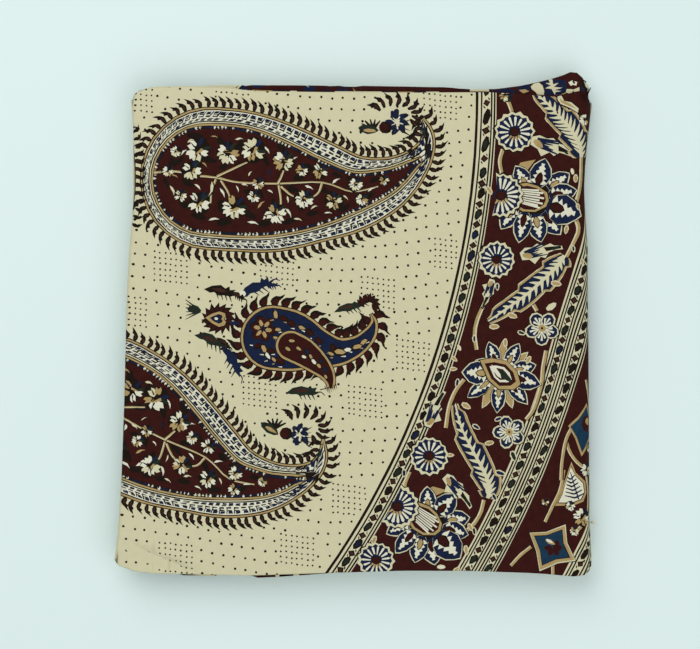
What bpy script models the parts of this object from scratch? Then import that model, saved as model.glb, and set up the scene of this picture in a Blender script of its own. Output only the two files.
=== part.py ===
"""Folded kalamkari panel: one printed cotton cloth folded into a soft, nearly square stack.

The cloth is halved and doubled into a long strip, which is one thick layer here. The strip lies back and
forth in six passes. The top pass turns down round the whole stack at the right and runs back under it.
X is across the stack, Y away from the viewer, Z up. Sizes below are in millimetres.
"""

import math

import bmesh
import bpy
import numpy as np

LAYER = 3.0  # thickness of the strip, six plies of thin cotton
PITCH = 3.85  # height from one pass to the next, where the stack is pressed
PUFF = 0.42  # how much further apart two passes lie in the soft middle
WRAP_REACH = 8.2  # how far the tall right-hand turn stands out from its passes
WRAP_SQUARE = 2.5  # 2 gives an ellipse, more gives squarer shoulders
FOLD_STEPS = 6  # segments round a small fold
WRAP_STEPS = 12  # segments round the tall turn
EVEN_SHARES = tuple(i / 10 for i in range(1, 10))  # where a pass is divided, from its left end to its right
EAR_SHARES = EVEN_SHARES + (0.935, 0.963, 0.984)
TOP_SHARES = (0.012, 0.032, 0.06, 0.1, 0.16, 0.23, 0.3, 0.38, 0.46, 0.54, 0.62, 0.7, 0.78, 0.86, 0.91, 0.95, 0.98)
BOTTOM_SHARES = (0.02,) + EVEN_SHARES + (0.95, 0.98)
EDGE_ROUND = ((0.0, 0.42), (0.9, 0.83), (2.4, 1.0))  # distance in from a rolled edge, share of the thickness

# Left edge of the stack: y, x.
LEFT_EDGE = ((-154, -149.6), (-142, -149.6), (-132, -148.3), (-119, -147.4), (-94, -145.7), (-44, -143.9),
             (19, -142.4), (49, -140.9), (69, -138.9), (89, -137.9), (125, -138.3), (144, -139.6), (163, -139.6))
# Right edge of the stack: y, x.
RIGHT_EDGE = ((-154, 149.4), (-143, 149.4), (-118, 148.2), (-69, 147.9), (-6, 147.4), (19, 146.9), (50, 146.9),
              (88, 144.6), (103, 145.4), (122, 147.3), (140, 149.6), (163, 149.6))
# Front edge of the top pass: x, y.
FRONT_TOP = ((-150, -141.5), (-147.5, -146.8), (-141, -150.4), (-128, -152.2), (-65, -153.6), (-10, -151.8),
             (30, -150.6), (72, -150.7), (115, -152.2), (137, -154.2), (144, -153.4), (148, -149.5), (150, -143.0))
# Back edge of the top pass: x, y.
BACK_TOP = ((-140, 143.0), (-136.5, 148.6), (-130, 152.1), (-108, 152.7), (-80, 151.9), (-60, 150.0), (-20, 149.4),
            (40, 149.1), (85, 149.3), (108, 147.7), (126, 146.5), (139, 149.2), (146, 147.4), (150, 142.5))
# Back edge of the two passes below it, which stand out as a dog-ear at the right: x, y.
BACK_EAR = ((-140, 142.0), (-131, 151.6), (-80, 153.6), (0, 153.1), (54, 152.3), (79, 150.8), (92, 151.3),
            (104, 153.0), (116, 155.5), (129, 158.9), (137, 162.4), (141, 160.6), (149.5, 150.6), (151, 147.5))

# How each pass lies: level from the table, set-back of its left and right ends, front and back edge shifts,
# wave height and wave phase of those edges.
PASSES = {
    "bottom": (0, 2.6, 0.0, 1.6, -1.4, 0.9, 0.4),
    "fifth": (1, 4.4, 6.4, 0.3, 0.4, 1.1, 2.1),
    "fourth": (2, 1.9, 6.4, 2.1, -0.8, 1.0, 3.9),
    "third": (3, 1.9, 5.6, 1.0, -0.3, 0.7, 5.2),
    "second": (4, 0.0, 5.6, -0.4, 0.0, 0.8, 1.1),
    "top": (5, 0.0, 0.0, 0.0, 0.0, 0.0, 0.0),
}
EAR_PASSES = ("second", "third")


def along(table, value):
    """Read a two-column table at value, straight between its rows."""
    return float(np.interp(value, [row[0] for row in table], [row[1] for row in table]))


def smooth(low, high, value):
    t = min(1.0, max(0.0, (value - low) / (high - low)))
    return t * t * (3.0 - 2.0 * t)


def wave(name, distance):
    """Slow unevenness of one pass's edges."""
    height, phase = PASSES[name][5:7]
    return height * (0.65 * math.sin(distance / 31.0 + phase) + 0.35 * math.sin(distance / 13.0 + 2.3 * phase))


def puff(x, y):
    """Share of full puffiness, 0 where the stack is pressed at its edges and 1 where it is softest."""
    sideways = smooth(-150, -95, x) * smooth(151, 112, x)
    lengthways = smooth(-154, -112, y) * smooth(156, 118, y)
    swell = 0.72 + 0.16 * math.sin(x / 37.0 + y / 61.0 + 0.6) + 0.12 * math.sin(y / 29.0 - x / 53.0)
    return sideways * lengthways * swell


def height(level, x, y):
    """Height of the middle of a pass."""
    lift = PUFF * level * puff(x, y)
    corner = 0.0 if level < 5 else 1.1 * smooth(16, 0, math.hypot(x + 146, y + 146))
    return LAYER / 2 + PITCH * level + lift + corner


def left_end(name, y):
    return along(LEFT_EDGE, y) + PASSES[name][1] + abs(wave(name, y)) * (0.0 if name in ("top", "second") else 1.0)


def right_end(name, y, share):
    """Right end of a pass. The dog-ear's fold spreads out past the end of the tall turn at the back."""
    spread = smooth(0.984, 1.0, share) * 5.9 if name in EAR_PASSES else 0.0
    return along(RIGHT_EDGE, y) - PASSES[name][2] - 0.4 * wave("third" if name in EAR_PASSES else "fifth", y) + spread


def front_edge(name, x):
    y = along(FRONT_TOP, x)
    if name == "second":
        y += 1.9 - 2.9 * (smooth(-118, -108, x) * smooth(-80, -90, x) + smooth(-72, -60, x) * smooth(8, -8, x))
    return y + PASSES[name][3] + wave(name, x)


def back_edge(name, x):
    y = along(BACK_EAR if name in EAR_PASSES else BACK_TOP, x)
    if name == "third":
        y -= 1.2
    if name == "second":
        return y
    return y + PASSES[name][4] + wave(name, 80.0 - x) * (0.0 if name == "top" else 1.0)


def deep(name, x, share):
    """Y of a point at a share of the way from a pass's front edge to its back edge."""
    front = front_edge(name, x)
    return front + share * (back_edge(name, x) - front)


def small_fold(lower, upper, side, y, share):
    """Points round a small fold from the lower pass up to the upper one, side -1 left or 1 right.

    Each point is x, height, the outward direction round the fold, and the part of the way up."""
    if side < 0:
        reach = min(left_end(lower, y), left_end(upper, y))
    else:
        reach = right_end(lower, y, share)
    low = PASSES[lower][0]
    edge = reach - side * (LAYER / 2 + PITCH / 2)
    z0, z1 = height(low, edge, y), height(low + 1, edge, y)
    radius = (z1 - z0) / 2
    points = []
    for i in range(FOLD_STEPS + 1):
        turn = math.pi * (i / FOLD_STEPS - 0.5)
        out, up = side * math.cos(turn), math.sin(turn)
        points.append((edge + out * radius, (z0 + z1) / 2 + up * radius, out, up, i / FOLD_STEPS))
    return points


def tall_turn(y):
    """Points round the right-hand turn, from the top pass down to the bottom one."""
    edge = along(RIGHT_EDGE, y) - LAYER / 2 - WRAP_REACH
    z0, z1 = height(0, edge, y), height(5, edge, y)
    middle, half = (z0 + z1) / 2, (z1 - z0) / 2
    lean = 0.7 * math.sin(y / 47.0 + 0.8)
    power = 2.0 / WRAP_SQUARE
    points = []
    for i in range(WRAP_STEPS + 1):
        turn = math.pi * (0.5 - i / WRAP_STEPS)
        c, s = max(0.0, math.cos(turn)), math.sin(turn)
        x = edge + (WRAP_REACH + lean * s * c) * c ** power
        z = middle + half * math.copysign(abs(s) ** power, s)
        nx = c ** (2.0 - power) / WRAP_REACH
        nz = math.copysign(abs(s) ** (2.0 - power), s) / half
        size = math.hypot(nx, nz)
        points.append((x, z, nx / size, nz / size, i / WRAP_STEPS))
    return points


def section(share):
    """Rows of x, y, z, direction x and z along the whole strip, from its hidden end to its bottom end.

    The direction points to the cloth's face that lies uppermost on the top pass."""
    rows = []
    nominal = -152.0 + share * 303.0

    def pass_row(name, left, right, face, shares, rightward=True):
        for part in shares if rightward else reversed(shares):
            x = left + (right - left) * part
            y = deep(name, x, share)
            rows.append((x, y, height(PASSES[name][0], x, y), 0.0, face))

    def fold_rows(points, first, last, face):
        for x, z, out, up, part in points:
            bend = smooth(0.0, 1.0, part)
            y = (1 - bend) * deep(first, x, share) + bend * deep(last, x, share)
            rows.append((x, y, z, out * face, up * face))

    r2 = small_fold("fifth", "fourth", 1, nominal, share)
    l2 = small_fold("fourth", "third", -1, nominal, share)
    r1 = small_fold("third", "second", 1, nominal, share)
    l1 = small_fold("second", "top", -1, nominal, share)
    turn = tall_turn(nominal)
    hem = left_end("fifth", nominal)
    end = left_end("bottom", nominal)

    rows.append((hem, deep("fifth", hem, share), height(1, hem, deep("fifth", hem, share)), 0.0, 1.0))
    pass_row("fifth", hem, r2[0][0], 1.0, EVEN_SHARES)
    fold_rows(r2, "fifth", "fourth", -1.0)
    pass_row("fourth", l2[0][0], r2[-1][0], -1.0, EVEN_SHARES, rightward=False)
    fold_rows(l2, "fourth", "third", 1.0)
    pass_row("third", l2[-1][0], r1[0][0], 1.0, EAR_SHARES)
    fold_rows(r1, "third", "second", -1.0)
    pass_row("second", l1[0][0], r1[-1][0], -1.0, EAR_SHARES, rightward=False)
    fold_rows(l1, "second", "top", 1.0)
    pass_row("top", l1[-1][0], turn[0][0], 1.0, TOP_SHARES)
    fold_rows(turn, "top", "bottom", 1.0)
    pass_row("bottom", end, turn[-1][0], -1.0, BOTTOM_SHARES, rightward=False)
    rows.append((end, deep("bottom", end, share), LAYER / 2, 0.0, -1.0))
    return np.array(rows)


def stations():
    """Shares of the way from front to back, and the share of the thickness left there."""
    length = 303.0
    inner = np.linspace(-140.0, 140.0, 17)
    rows = [(d / length, keep) for d, keep in EDGE_ROUND]
    rows += [((y + 152.0) / length, 1.0) for y in inner]
    rows += [(1.0 - d / length, keep) for d, keep in reversed(EDGE_ROUND)]
    return rows


def build_cloth():
    mesh = bmesh.new()
    sides = {1: [], -1: []}
    for share, keep in stations():
        rows = section(share)
        for side in (1, -1):
            offset = side * keep * LAYER / 2
            sides[side].append([
                mesh.verts.new(((x + nx * offset) / 1000, y / 1000, (z + nz * offset) / 1000))
                for x, y, z, nx, nz in rows
            ])
    for side, grid in sides.items():
        for j in range(len(grid) - 1):
            for i in range(len(grid[0]) - 1):
                quad = (grid[j][i], grid[j][i + 1], grid[j + 1][i + 1], grid[j + 1][i])
                mesh.faces.new(quad if side > 0 else quad[::-1])
    a, b = sides[1], sides[-1]
    for i in range(len(a[0]) - 1):
        mesh.faces.new((a[0][i + 1], a[0][i], b[0][i], b[0][i + 1]))
        mesh.faces.new((a[-1][i], a[-1][i + 1], b[-1][i + 1], b[-1][i]))
    for j in range(len(a) - 1):
        mesh.faces.new((a[j][0], a[j + 1][0], b[j + 1][0], b[j][0]))
        mesh.faces.new((a[j + 1][-1], a[j][-1], b[j][-1], b[j + 1][-1]))
    bmesh.ops.triangulate(mesh, faces=mesh.faces[:])
    bmesh.ops.recalc_face_normals(mesh, faces=mesh.faces[:])
    low = [min(v.co[k] for v in mesh.verts) for k in range(3)]
    high = [max(v.co[k] for v in mesh.verts) for k in range(3)]
    bmesh.ops.translate(mesh, verts=mesh.verts[:], vec=(-(low[0] + high[0]) / 2, -(low[1] + high[1]) / 2, 0.0))
    data = bpy.data.meshes.new("folded_cloth")
    mesh.to_mesh(data)
    mesh.free()
    return bpy.data.objects.new("folded_cloth", data)


def printed_cotton():
    material = bpy.data.materials.new("printed_cotton")
    material.use_nodes = True
    shader = material.node_tree.nodes["Principled BSDF"]
    shader.inputs["Base Color"].default_value = (0.66, 0.60, 0.38, 1.0)
    shader.inputs["Roughness"].default_value = 0.9
    return material


for old in list(bpy.data.objects):
    bpy.data.objects.remove(old, do_unlink=True)
collection = bpy.data.collections.new("folded_kalamkari_panel")
bpy.context.scene.collection.children.link(collection)
cloth = build_cloth()
cloth.data.materials.append(printed_cotton())
collection.objects.link(cloth)
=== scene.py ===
"""The folded kalamkari panel: a printed cotton cloth in a soft stack, lying on a pale surface."""

import math
import random

import bmesh
import bpy
import numpy as np
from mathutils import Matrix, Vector
from mathutils.geometry import delaunay_2d_cdt


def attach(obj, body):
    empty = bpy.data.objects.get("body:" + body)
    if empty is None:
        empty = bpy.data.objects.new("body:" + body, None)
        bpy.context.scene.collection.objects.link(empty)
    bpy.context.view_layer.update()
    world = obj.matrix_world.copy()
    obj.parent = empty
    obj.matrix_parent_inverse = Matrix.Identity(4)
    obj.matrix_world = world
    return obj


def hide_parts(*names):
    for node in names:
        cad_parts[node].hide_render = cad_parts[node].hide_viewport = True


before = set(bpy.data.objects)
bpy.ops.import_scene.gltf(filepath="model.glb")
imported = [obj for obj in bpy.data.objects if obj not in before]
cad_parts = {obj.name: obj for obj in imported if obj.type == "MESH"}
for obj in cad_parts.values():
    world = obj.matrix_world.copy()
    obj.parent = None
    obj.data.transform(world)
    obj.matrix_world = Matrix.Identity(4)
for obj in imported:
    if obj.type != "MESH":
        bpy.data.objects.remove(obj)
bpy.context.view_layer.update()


# The cloth: one sheet of thin cotton, 1.74 m square, block printed on one face and hemmed all round. It is
# halved and doubled into a strip of six plies, and the strip lies back and forth in six passes. The top pass
# turns down round the whole stack at the right and runs back under it. All sizes here are in millimetres.
HEMS_ACROSS = (-860.0, 880.0)  # left and right hems, from the middle of the round print
HEM_ALONG = 865.0  # the hems that end at the front edge, each way from that middle
LAYER = 3.0  # thickness of a pass
PITCH = 3.85  # from one pass up to the next where the stack is pressed, at its edges
PUFF = 0.42  # what each pass adds to that in the soft middle
WRAP_REACH = 8.2  # how far the tall turn at the right stands out
WRAP_SQUARE = 2.5  # its squareness: 2 would be an oval
MEDALLION = (-449.0, 148.0)  # where the middle of the round print would lie, left of the stack
STACK_MIDDLE = (-0.24, 3.29)  # of the stack's box, in the same measure as the tables

# Left edge of the stack: y, x.
LEFT_EDGE = (
    (-154, -149.6), (-142, -149.6), (-132, -148.3), (-119, -147.4), (-94, -145.7), (-44, -143.9),
    (19, -142.4), (49, -140.9), (69, -138.9), (89, -137.9), (125, -138.3), (144, -139.6), (163, -139.6),
)
# Right edge of the stack: y, x.
RIGHT_EDGE = (
    (-154, 149.4), (-143, 149.4), (-118, 148.2), (-69, 147.9), (-6, 147.4), (19, 146.9), (50, 146.9),
    (88, 144.6), (103, 145.4), (122, 147.3), (140, 149.6), (163, 149.6),
)
# Front edge of the top pass: x, y.
FRONT_TOP = (
    (-150, -141.5), (-147.5, -146.8), (-141, -150.4), (-128, -152.2), (-65, -153.6), (-10, -151.8),
    (30, -150.6), (72, -150.7), (115, -152.2), (137, -154.2), (144, -153.4), (148, -149.5), (150, -143.0),
)
# Back edge of the top pass: x, y.
BACK_TOP = (
    (-140, 143.0), (-136.5, 148.6), (-130, 152.1), (-108, 152.7), (-80, 151.9), (-60, 150.0), (-20, 149.4),
    (40, 149.1), (85, 149.3), (108, 147.7), (126, 146.5), (139, 149.2), (146, 147.4), (150, 142.5),
)
# Back edge of the two passes below it, which stand out as a dog-ear at the right: x, y.
BACK_EAR = (
    (-140, 142.0), (-131, 151.6), (-80, 153.6), (0, 153.1), (54, 152.3), (79, 150.8), (92, 151.3),
    (104, 153.0), (116, 155.5), (129, 158.9), (137, 162.4), (141, 160.6), (149.5, 150.6), (151, 147.5),
)
EAR_PASSES = ("second", "third")
# How each pass lies: level, set-back of its left and right ends, front and back shifts, height and phase of
# its waves.
PASSES = {
    "bottom": (0, 2.6, 0.0, 1.6, -1.4, 0.9, 0.4),
    "fifth": (1, 4.4, 6.4, 0.3, 0.4, 1.1, 2.1),
    "fourth": (2, 1.9, 6.4, 2.1, -0.8, 1.0, 3.9),
    "third": (3, 1.9, 5.6, 1.0, -0.3, 0.7, 5.2),
    "second": (4, 0.0, 5.6, -0.4, 0.0, 0.8, 1.1),
    "top": (5, 0.0, 0.0, 0.0, 0.0, 0.0, 0.0),
}
# The small folds between passes: name, pass above, pass below, and 1 for the right end or -1 for the left.
FOLDS = (("L1", "top", "second", -1), ("R1", "second", "third", 1), ("L2", "third", "fourth", -1),
         ("R2", "fourth", "fifth", 1))
# Creases of the top pass: from x, y to x, y, half width, height of the ridge or depth of the trough.
CREASES = (
    (-143.5, -133.0, -107.0, -150.5, 3.2, -1.7), (-141.0, -127.0, -102.0, -146.5, 4.6, 1.1),
    (108.0, 148.5, 136.0, 132.0, 5.0, -0.45), (122.0, 150.0, 147.0, 128.0, 4.5, 0.5),
    (141.0, 104.0, 135.0, 60.0, 4.0, -0.5), (-139.0, 98.0, -118.0, 84.0, 6.0, -0.3),
    (-143.0, 35.0, -122.0, 22.0, 6.5, 0.3), (60.0, 148.0, 20.0, 120.0, 9.0, 0.25),
    (-60.0, -150.0, -20.0, -118.0, 10.0, 0.25), (88.0, -150.0, 120.0, -112.0, 9.0, -0.25),
)


def read(table, value):
    rows = np.array(table)
    return np.interp(value, rows[:, 0], rows[:, 1])


def ease(low, high, value):
    t = np.clip((value - low) / (high - low), 0.0, 1.0)
    return t * t * (3.0 - 2.0 * t)


def distances(line):
    """How far along a line each of its points is."""
    return np.concatenate(([0.0], np.cumsum(np.hypot(*np.diff(line, axis=0).T))))


def edge_wave(name, distance):
    rise, phase = PASSES[name][5:7]
    return rise * (0.65 * np.sin(distance / 31.0 + phase) + 0.35 * np.sin(distance / 13.0 + 2.3 * phase))


def pass_height(level, x, y):
    """Height of the middle of a pass: pressed at the edges of the stack, soft in the middle."""
    sideways = ease(-150, -95, x) * ease(151, 112, x)
    lengthways = ease(-154, -112, y) * ease(156, 118, y)
    swell = 0.72 + 0.16 * np.sin(x / 37.0 + y / 61.0 + 0.6) + 0.12 * np.sin(y / 29.0 - x / 53.0)
    corner = 0.0 if level < 5 else 1.1 * ease(16, 0, np.hypot(x + 146, y + 146))
    return LAYER / 2 + PITCH * level + PUFF * level * sideways * lengthways * swell + corner


def creasing(x, y):
    """Soft troughs and ridges of the top pass, and the slight unevenness of slack cotton."""
    rise = 0.10 * np.sin(x / 9.0 + 1.7 * np.sin(y / 41.0)) * np.sin(y / 23.0 + 0.7)
    rise = rise + 0.08 * np.sin(y / 7.5 + 1.3 * np.sin(x / 33.0) + 2.0)
    for x0, y0, x1, y1, half, depth in CREASES:
        length = math.hypot(x1 - x0, y1 - y0)
        ax, ay = (x1 - x0) / length, (y1 - y0) / length
        along = (x - x0) * ax + (y - y0) * ay
        off = (x - x0) * -ay + (y - y0) * ax + 1.2 * np.sin(along / 9.0)
        fade = ease(-6, 5, along) * ease(length + 14, length - 6, along)
        rise = rise + depth * fade * np.exp(-((off / half) ** 2))
    return rise


def left_end(name, y):
    wander = 0.0 if name in ("top", "second") else np.abs(edge_wave(name, y))
    return read(LEFT_EDGE, y) + PASSES[name][1] + wander


def right_end(name, y):
    in_ear = name in EAR_PASSES
    spread = ease(0.984, 1.0, (y + 152.0) / 303.0) * 5.9 if in_ear else 0.0
    return read(RIGHT_EDGE, y) - PASSES[name][2] - 0.4 * edge_wave("third" if in_ear else "fifth", y) + spread


def front_edge(name, x):
    y = read(FRONT_TOP, x) + PASSES[name][3] + edge_wave(name, x)
    if name == "second":
        y = y + 1.9 - 2.9 * (ease(-118, -108, x) * ease(-80, -90, x) + ease(-72, -60, x) * ease(8, -8, x))
    return y


def back_edge(name, x):
    y = read(BACK_EAR if name in EAR_PASSES else BACK_TOP, x)
    if name in ("second", "top"):
        return y
    return y + PASSES[name][4] + edge_wave(name, 80.0 - x) - (1.2 if name == "third" else 0.0)


def fold_centres(y):
    """For each small fold at depth y: its centre's x and height, and its radius."""
    found = {}
    for key, upper, lower, side in FOLDS:
        reach = np.minimum(left_end(lower, y), left_end(upper, y)) if side < 0 else right_end(lower, y)
        x = reach - side * (LAYER / 2 + PITCH / 2)
        z0, z1 = (pass_height(PASSES[name][0], x, y) for name in (lower, upper))
        found[key] = (x, (z0 + z1) / 2, (z1 - z0) / 2)
    return found


def wrap_curve(part, y):
    """The tall turn at the right, part 0 at the top pass and 1 at the bottom one: x, z, direction x, z."""
    edge = read(RIGHT_EDGE, y) - LAYER / 2 - WRAP_REACH
    z0, z1 = pass_height(0, edge, y), pass_height(5, edge, y)
    half = (z1 - z0) / 2
    lean = 0.7 * np.sin(y / 47.0 + 0.8)
    power = 2.0 / WRAP_SQUARE
    turn = np.pi * (0.5 - part)
    c, s = np.maximum(0.0, np.cos(turn)), np.sin(turn)
    x = edge + (WRAP_REACH + lean * s * c) * c ** power
    z = (z0 + z1) / 2 + half * np.sign(s) * np.abs(s) ** power
    nx = c ** (2.0 - power) / WRAP_REACH
    nz = np.sign(s) * np.abs(s) ** (2.0 - power) / half
    size = np.hypot(nx, nz)
    return x, z, nx / size, nz / size


# Equal steps along the tall turn, as parts of the turn, and its whole length.
WRAP_PART = np.linspace(0, 1, 401)
wrap_steps = distances(np.stack(wrap_curve(WRAP_PART, np.full(401, -40.0))[:2], axis=1))
WRAP_LENGTH = wrap_steps[-1]
WRAP_RUN = wrap_steps / WRAP_LENGTH


def crosswise(y):
    """Where the strip's folds come, measured across the flat cloth, at depth y in the stack."""
    centres = fold_centres(y)
    marks = {"L1 top": centres["L1"][0] - MEDALLION[0]}
    before = None
    for key in ("L1", "R1", "L2", "R2"):
        x, _, radius = centres[key]
        if before:
            marks[key + " top"] = marks[before + " low"] - np.abs(x - centres[before][0])
        marks[key + " low"] = marks[key + " top"] - np.pi * radius
        before = key
    marks["wrap top"] = read(RIGHT_EDGE, y) - LAYER / 2 - WRAP_REACH - MEDALLION[0]
    marks["wrap low"] = marks["wrap top"] + WRAP_LENGTH
    return centres, marks


HEM_BACK = 2.0  # the hems of the two end passes lie this far in from the left ends


def flat_spans(u, centres, marks, y):
    """Each pass between its folds: name, from and to across the cloth, x of points u, and its face's side."""
    turn, low = centres["R2"][0], marks["R2 low"]
    fifth = turn - (low - u) * (turn - left_end("fifth", y) - HEM_BACK) / (low - HEMS_ACROSS[0])
    turn, low = marks["wrap top"] + MEDALLION[0], marks["wrap low"]
    bottom = turn - (u - low) * (turn - left_end("bottom", y) - HEM_BACK) / (HEMS_ACROSS[1] - low)
    return (
        ("top", marks["L1 top"], marks["wrap top"], u + MEDALLION[0], 1.0),
        ("second", marks["R1 top"], marks["L1 low"], centres["L1"][0] + marks["L1 low"] - u, -1.0),
        ("third", marks["L2 top"], marks["R1 low"], centres["R1"][0] - marks["R1 low"] + u, 1.0),
        ("fourth", marks["R2 top"], marks["L2 low"], centres["L2"][0] + marks["L2 low"] - u, -1.0),
        ("fifth", -np.inf, marks["R2 low"], fifth, 1.0),
        ("bottom", marks["wrap low"], np.inf, bottom, -1.0),
    )


PLY_RUN = 302.0  # length of a ply from front to back, near enough for a first guess
BACK_LINE = 149.5
FIRST_IN = 0.9  # the strip's first fold lies this far in from the back edge
FIRST_TURN = 0.25  # radius of that fold
HEM_IN = 40.0  # the innermost plies' hems stop this far from the front edge
# The plies of the near half of the cloth and of the far one: heights within a pass, from its middle, and how
# far in from the front and back edges they start to turn.
PLIES = {True: ((1.25, -0.25, -0.75), 0.95, 1.65), False: ((0.75, 0.25, -1.25), 0.95, 0.95)}


def depth_guess(v):
    """Depth in the stack of a point of the flat cloth, before the edges' unevenness is counted."""
    away = np.abs(v - (MEDALLION[1] - BACK_LINE))
    ply = np.clip(np.floor(away / PLY_RUN), 0, 2)
    part = away - ply * PLY_RUN
    return np.where(ply == 1, BACK_LINE - PLY_RUN + part, BACK_LINE - part)


def ply_stages(near, front, back):
    """One half of the cloth from its first fold on: the fold's v, the depths at which its plies turn, and the
    distances from the fold at which its turns and runs end."""
    heights, front_in, back_in = PLIES[near]
    start = MEDALLION[1] - (back - FIRST_IN)
    y0, y1, y2 = back - FIRST_IN - FIRST_TURN, front + front_in, back - back_in
    quarter = FIRST_TURN * np.pi / 2
    first = quarter + (y0 - y1)
    second = first + np.pi * abs(heights[0] - heights[1]) / 2
    third = second + (y2 - y1)
    fourth = third + np.pi * abs(heights[1] - heights[2]) / 2
    end = HEM_ALONG - start if near else HEM_ALONG + start
    return start, (y0, y1, y2), (quarter, first, second, third, fourth, end)


def lengthwise(v, front, back):
    """Depth and height within the pass of points of the strip, from its plies' front and back turns."""
    start = ply_stages(True, front, back)[0]
    d = np.abs(v - start)
    y, h = np.zeros_like(d), np.zeros_like(d)
    for near, up in ((True, 1.0), (False, -1.0)):
        (h0, h1, h2), (y0, y1, y2) = PLIES[near][0], ply_stages(near, front, back)[1]
        quarter, first, second, third, fourth, end = ply_stages(near, front, back)[2]
        r1, r2 = abs(h0 - h1) / 2, abs(h1 - h2) / 2
        turn0 = np.clip(d / FIRST_TURN, 0, np.pi / 2)
        turn1 = np.clip((d - first) / r1, 0, np.pi)
        turn2 = np.clip((d - third) / r2, 0, np.pi)
        stages = (
            (-1.0, quarter, y0 + FIRST_TURN * np.cos(turn0), 1.0 + up * FIRST_TURN * np.sin(turn0)),
            (quarter, first, y0 - (d - quarter), h0),
            (first, second, y1 - r1 * np.sin(turn1), (h0 + h1) / 2 + r1 * np.cos(turn1)),
            (second, third, y1 + (d - second), h1),
            (third, fourth, y2 + r2 * np.sin(turn2), (h1 + h2) / 2 + r2 * np.cos(turn2)),
            (fourth, np.inf, y2 - (d - fourth) * (y2 - front - HEM_IN) / (end - fourth), h2),
        )
        for low, high, depth, height in stages:
            mask = ((v >= start) == near) & (d >= low) & (d < high)
            y[mask] = np.broadcast_to(depth, d.shape)[mask]
            h[mask] = np.broadcast_to(height, d.shape)[mask]
    return y, h


def lay(u, v):
    """Where points of the flat cloth lie in the folded stack. u runs right and v towards the front."""
    u, v = np.asarray(u, float), np.asarray(v, float)
    guess = depth_guess(v)
    for _ in range(3):
        guess, solid = lay_from(u, v, guess)
    return solid


def lay_from(u, v, guess):
    """Depth and place of points whose depth in the stack is about known."""
    centres, marks = crosswise(guess)
    x, z, nx, nz, front, back = (np.zeros(u.shape) for _ in range(6))
    level = np.full(u.shape, -1)
    for name, low, high, place, face in flat_spans(u, centres, marks, guess):
        mask = (u >= low) & (u <= high)
        x[mask] = place[mask]
        nz[mask] = face
        level[mask] = PASSES[name][0]
        front[mask] = front_edge(name, x[mask])
        back[mask] = back_edge(name, x[mask])

    def bent(mask, first, last, part, values):
        x[mask], z[mask], nx[mask], nz[mask] = (np.broadcast_to(a, u.shape)[mask] for a in values)
        bend = ease(0, 1, part)[mask]
        front[mask] = (1 - bend) * front_edge(first, x[mask]) + bend * front_edge(last, x[mask])
        back[mask] = (1 - bend) * back_edge(first, x[mask]) + bend * back_edge(last, x[mask])

    part = np.interp((u - marks["wrap top"]) / WRAP_LENGTH, WRAP_RUN, WRAP_PART)
    mask = (u > marks["wrap top"]) & (u < marks["wrap low"])
    bent(mask, "top", "bottom", part, wrap_curve(part, guess))
    for key, upper, lower, side in FOLDS:
        cx, cz, radius = centres[key]
        part = (marks[key + " top"] - u) / (np.pi * radius)
        turn = np.pi * (0.5 - np.clip(part, 0, 1))
        c, s = side * np.cos(turn), np.sin(turn)
        mask = (u < marks[key + " top"]) & (u > marks[key + " low"])
        bent(mask, upper, lower, part, (cx + radius * c, cz + radius * s, -side * c, -side * s))

    y, h = lengthwise(v, front, back)
    for name, row in PASSES.items():
        mask = level == row[0]
        z[mask] = pass_height(row[0], x[mask], y[mask])
        if name == "top":
            inside = ease(-143, -128, x[mask]) * ease(141, 128, x[mask])
            z[mask] += creasing(x[mask], y[mask]) * np.maximum(inside, 0.25)
    return y, np.stack([x + nx * h, y, z + nz * h], axis=-1)


def net_rows():
    """Depth lines of the net: whether in the near half, which stage of the plies, and what part of it."""
    rows = []
    for near in (False, True):
        half = []
        for stage, count in enumerate((2, 28 if near else 12, 5, 9, 5, 7)):
            half += [(near, stage, i / count) for i in range(count)]
        half.append((near, stage, 1.0))
        rows += half if near else half[:0:-1]
    return rows


def depth_position(row, front, back):
    """Flat position v of a depth line for a pass with these front and back edges."""
    near, stage, part = row
    start, _, ends = ply_stages(near, front, back)
    low, high = ((0.0,) + ends)[stage:stage + 2]
    d = low + (high - low) * part
    return start + d if near else start - d


def fold_edges(u, guess):
    """Front and back edges of the stack where points of the flat cloth lie."""
    front, back = np.zeros_like(u), np.zeros_like(u)
    done = np.zeros(u.shape, bool)
    for name, low, high, x, _ in flat_spans(u, *crosswise(guess), guess):
        mask = (u >= low) & (u <= high)
        front[mask] = front_edge(name, x[mask])
        back[mask] = back_edge(name, x[mask])
        done |= mask
    order = np.arange(u.size)
    return np.interp(order, order[done], front[done]), np.interp(order, order[done], back[done])


# Where a pass that stands out in the dog-ear is divided, from its right end.
EAR_SHARES = (0.0, 0.012, 0.025, 0.04, 0.055, 0.075, 0.1, 0.14, 0.2, 0.3, 0.4, 0.5, 0.6, 0.7, 0.8, 0.9)
# How the net is divided across the cloth: from one mark to the next, and the number of columns.
NET_SPANS = (
    ("hem low", "R2 low", 6), ("R2 low", "R2 top", 5), ("R2 top", "L2 low", 7), ("L2 low", "L2 top", 5),
    ("L2 top", "R1 low", 8), ("R1 low", "R1 top", 5), ("R1 top", "L1 low", 12), ("L1 low", "L1 top", 9),
    ("L1 top", "wrap top", 28), ("wrap top", "wrap low", 18), ("wrap low", "hem high", 8),
)


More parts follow.
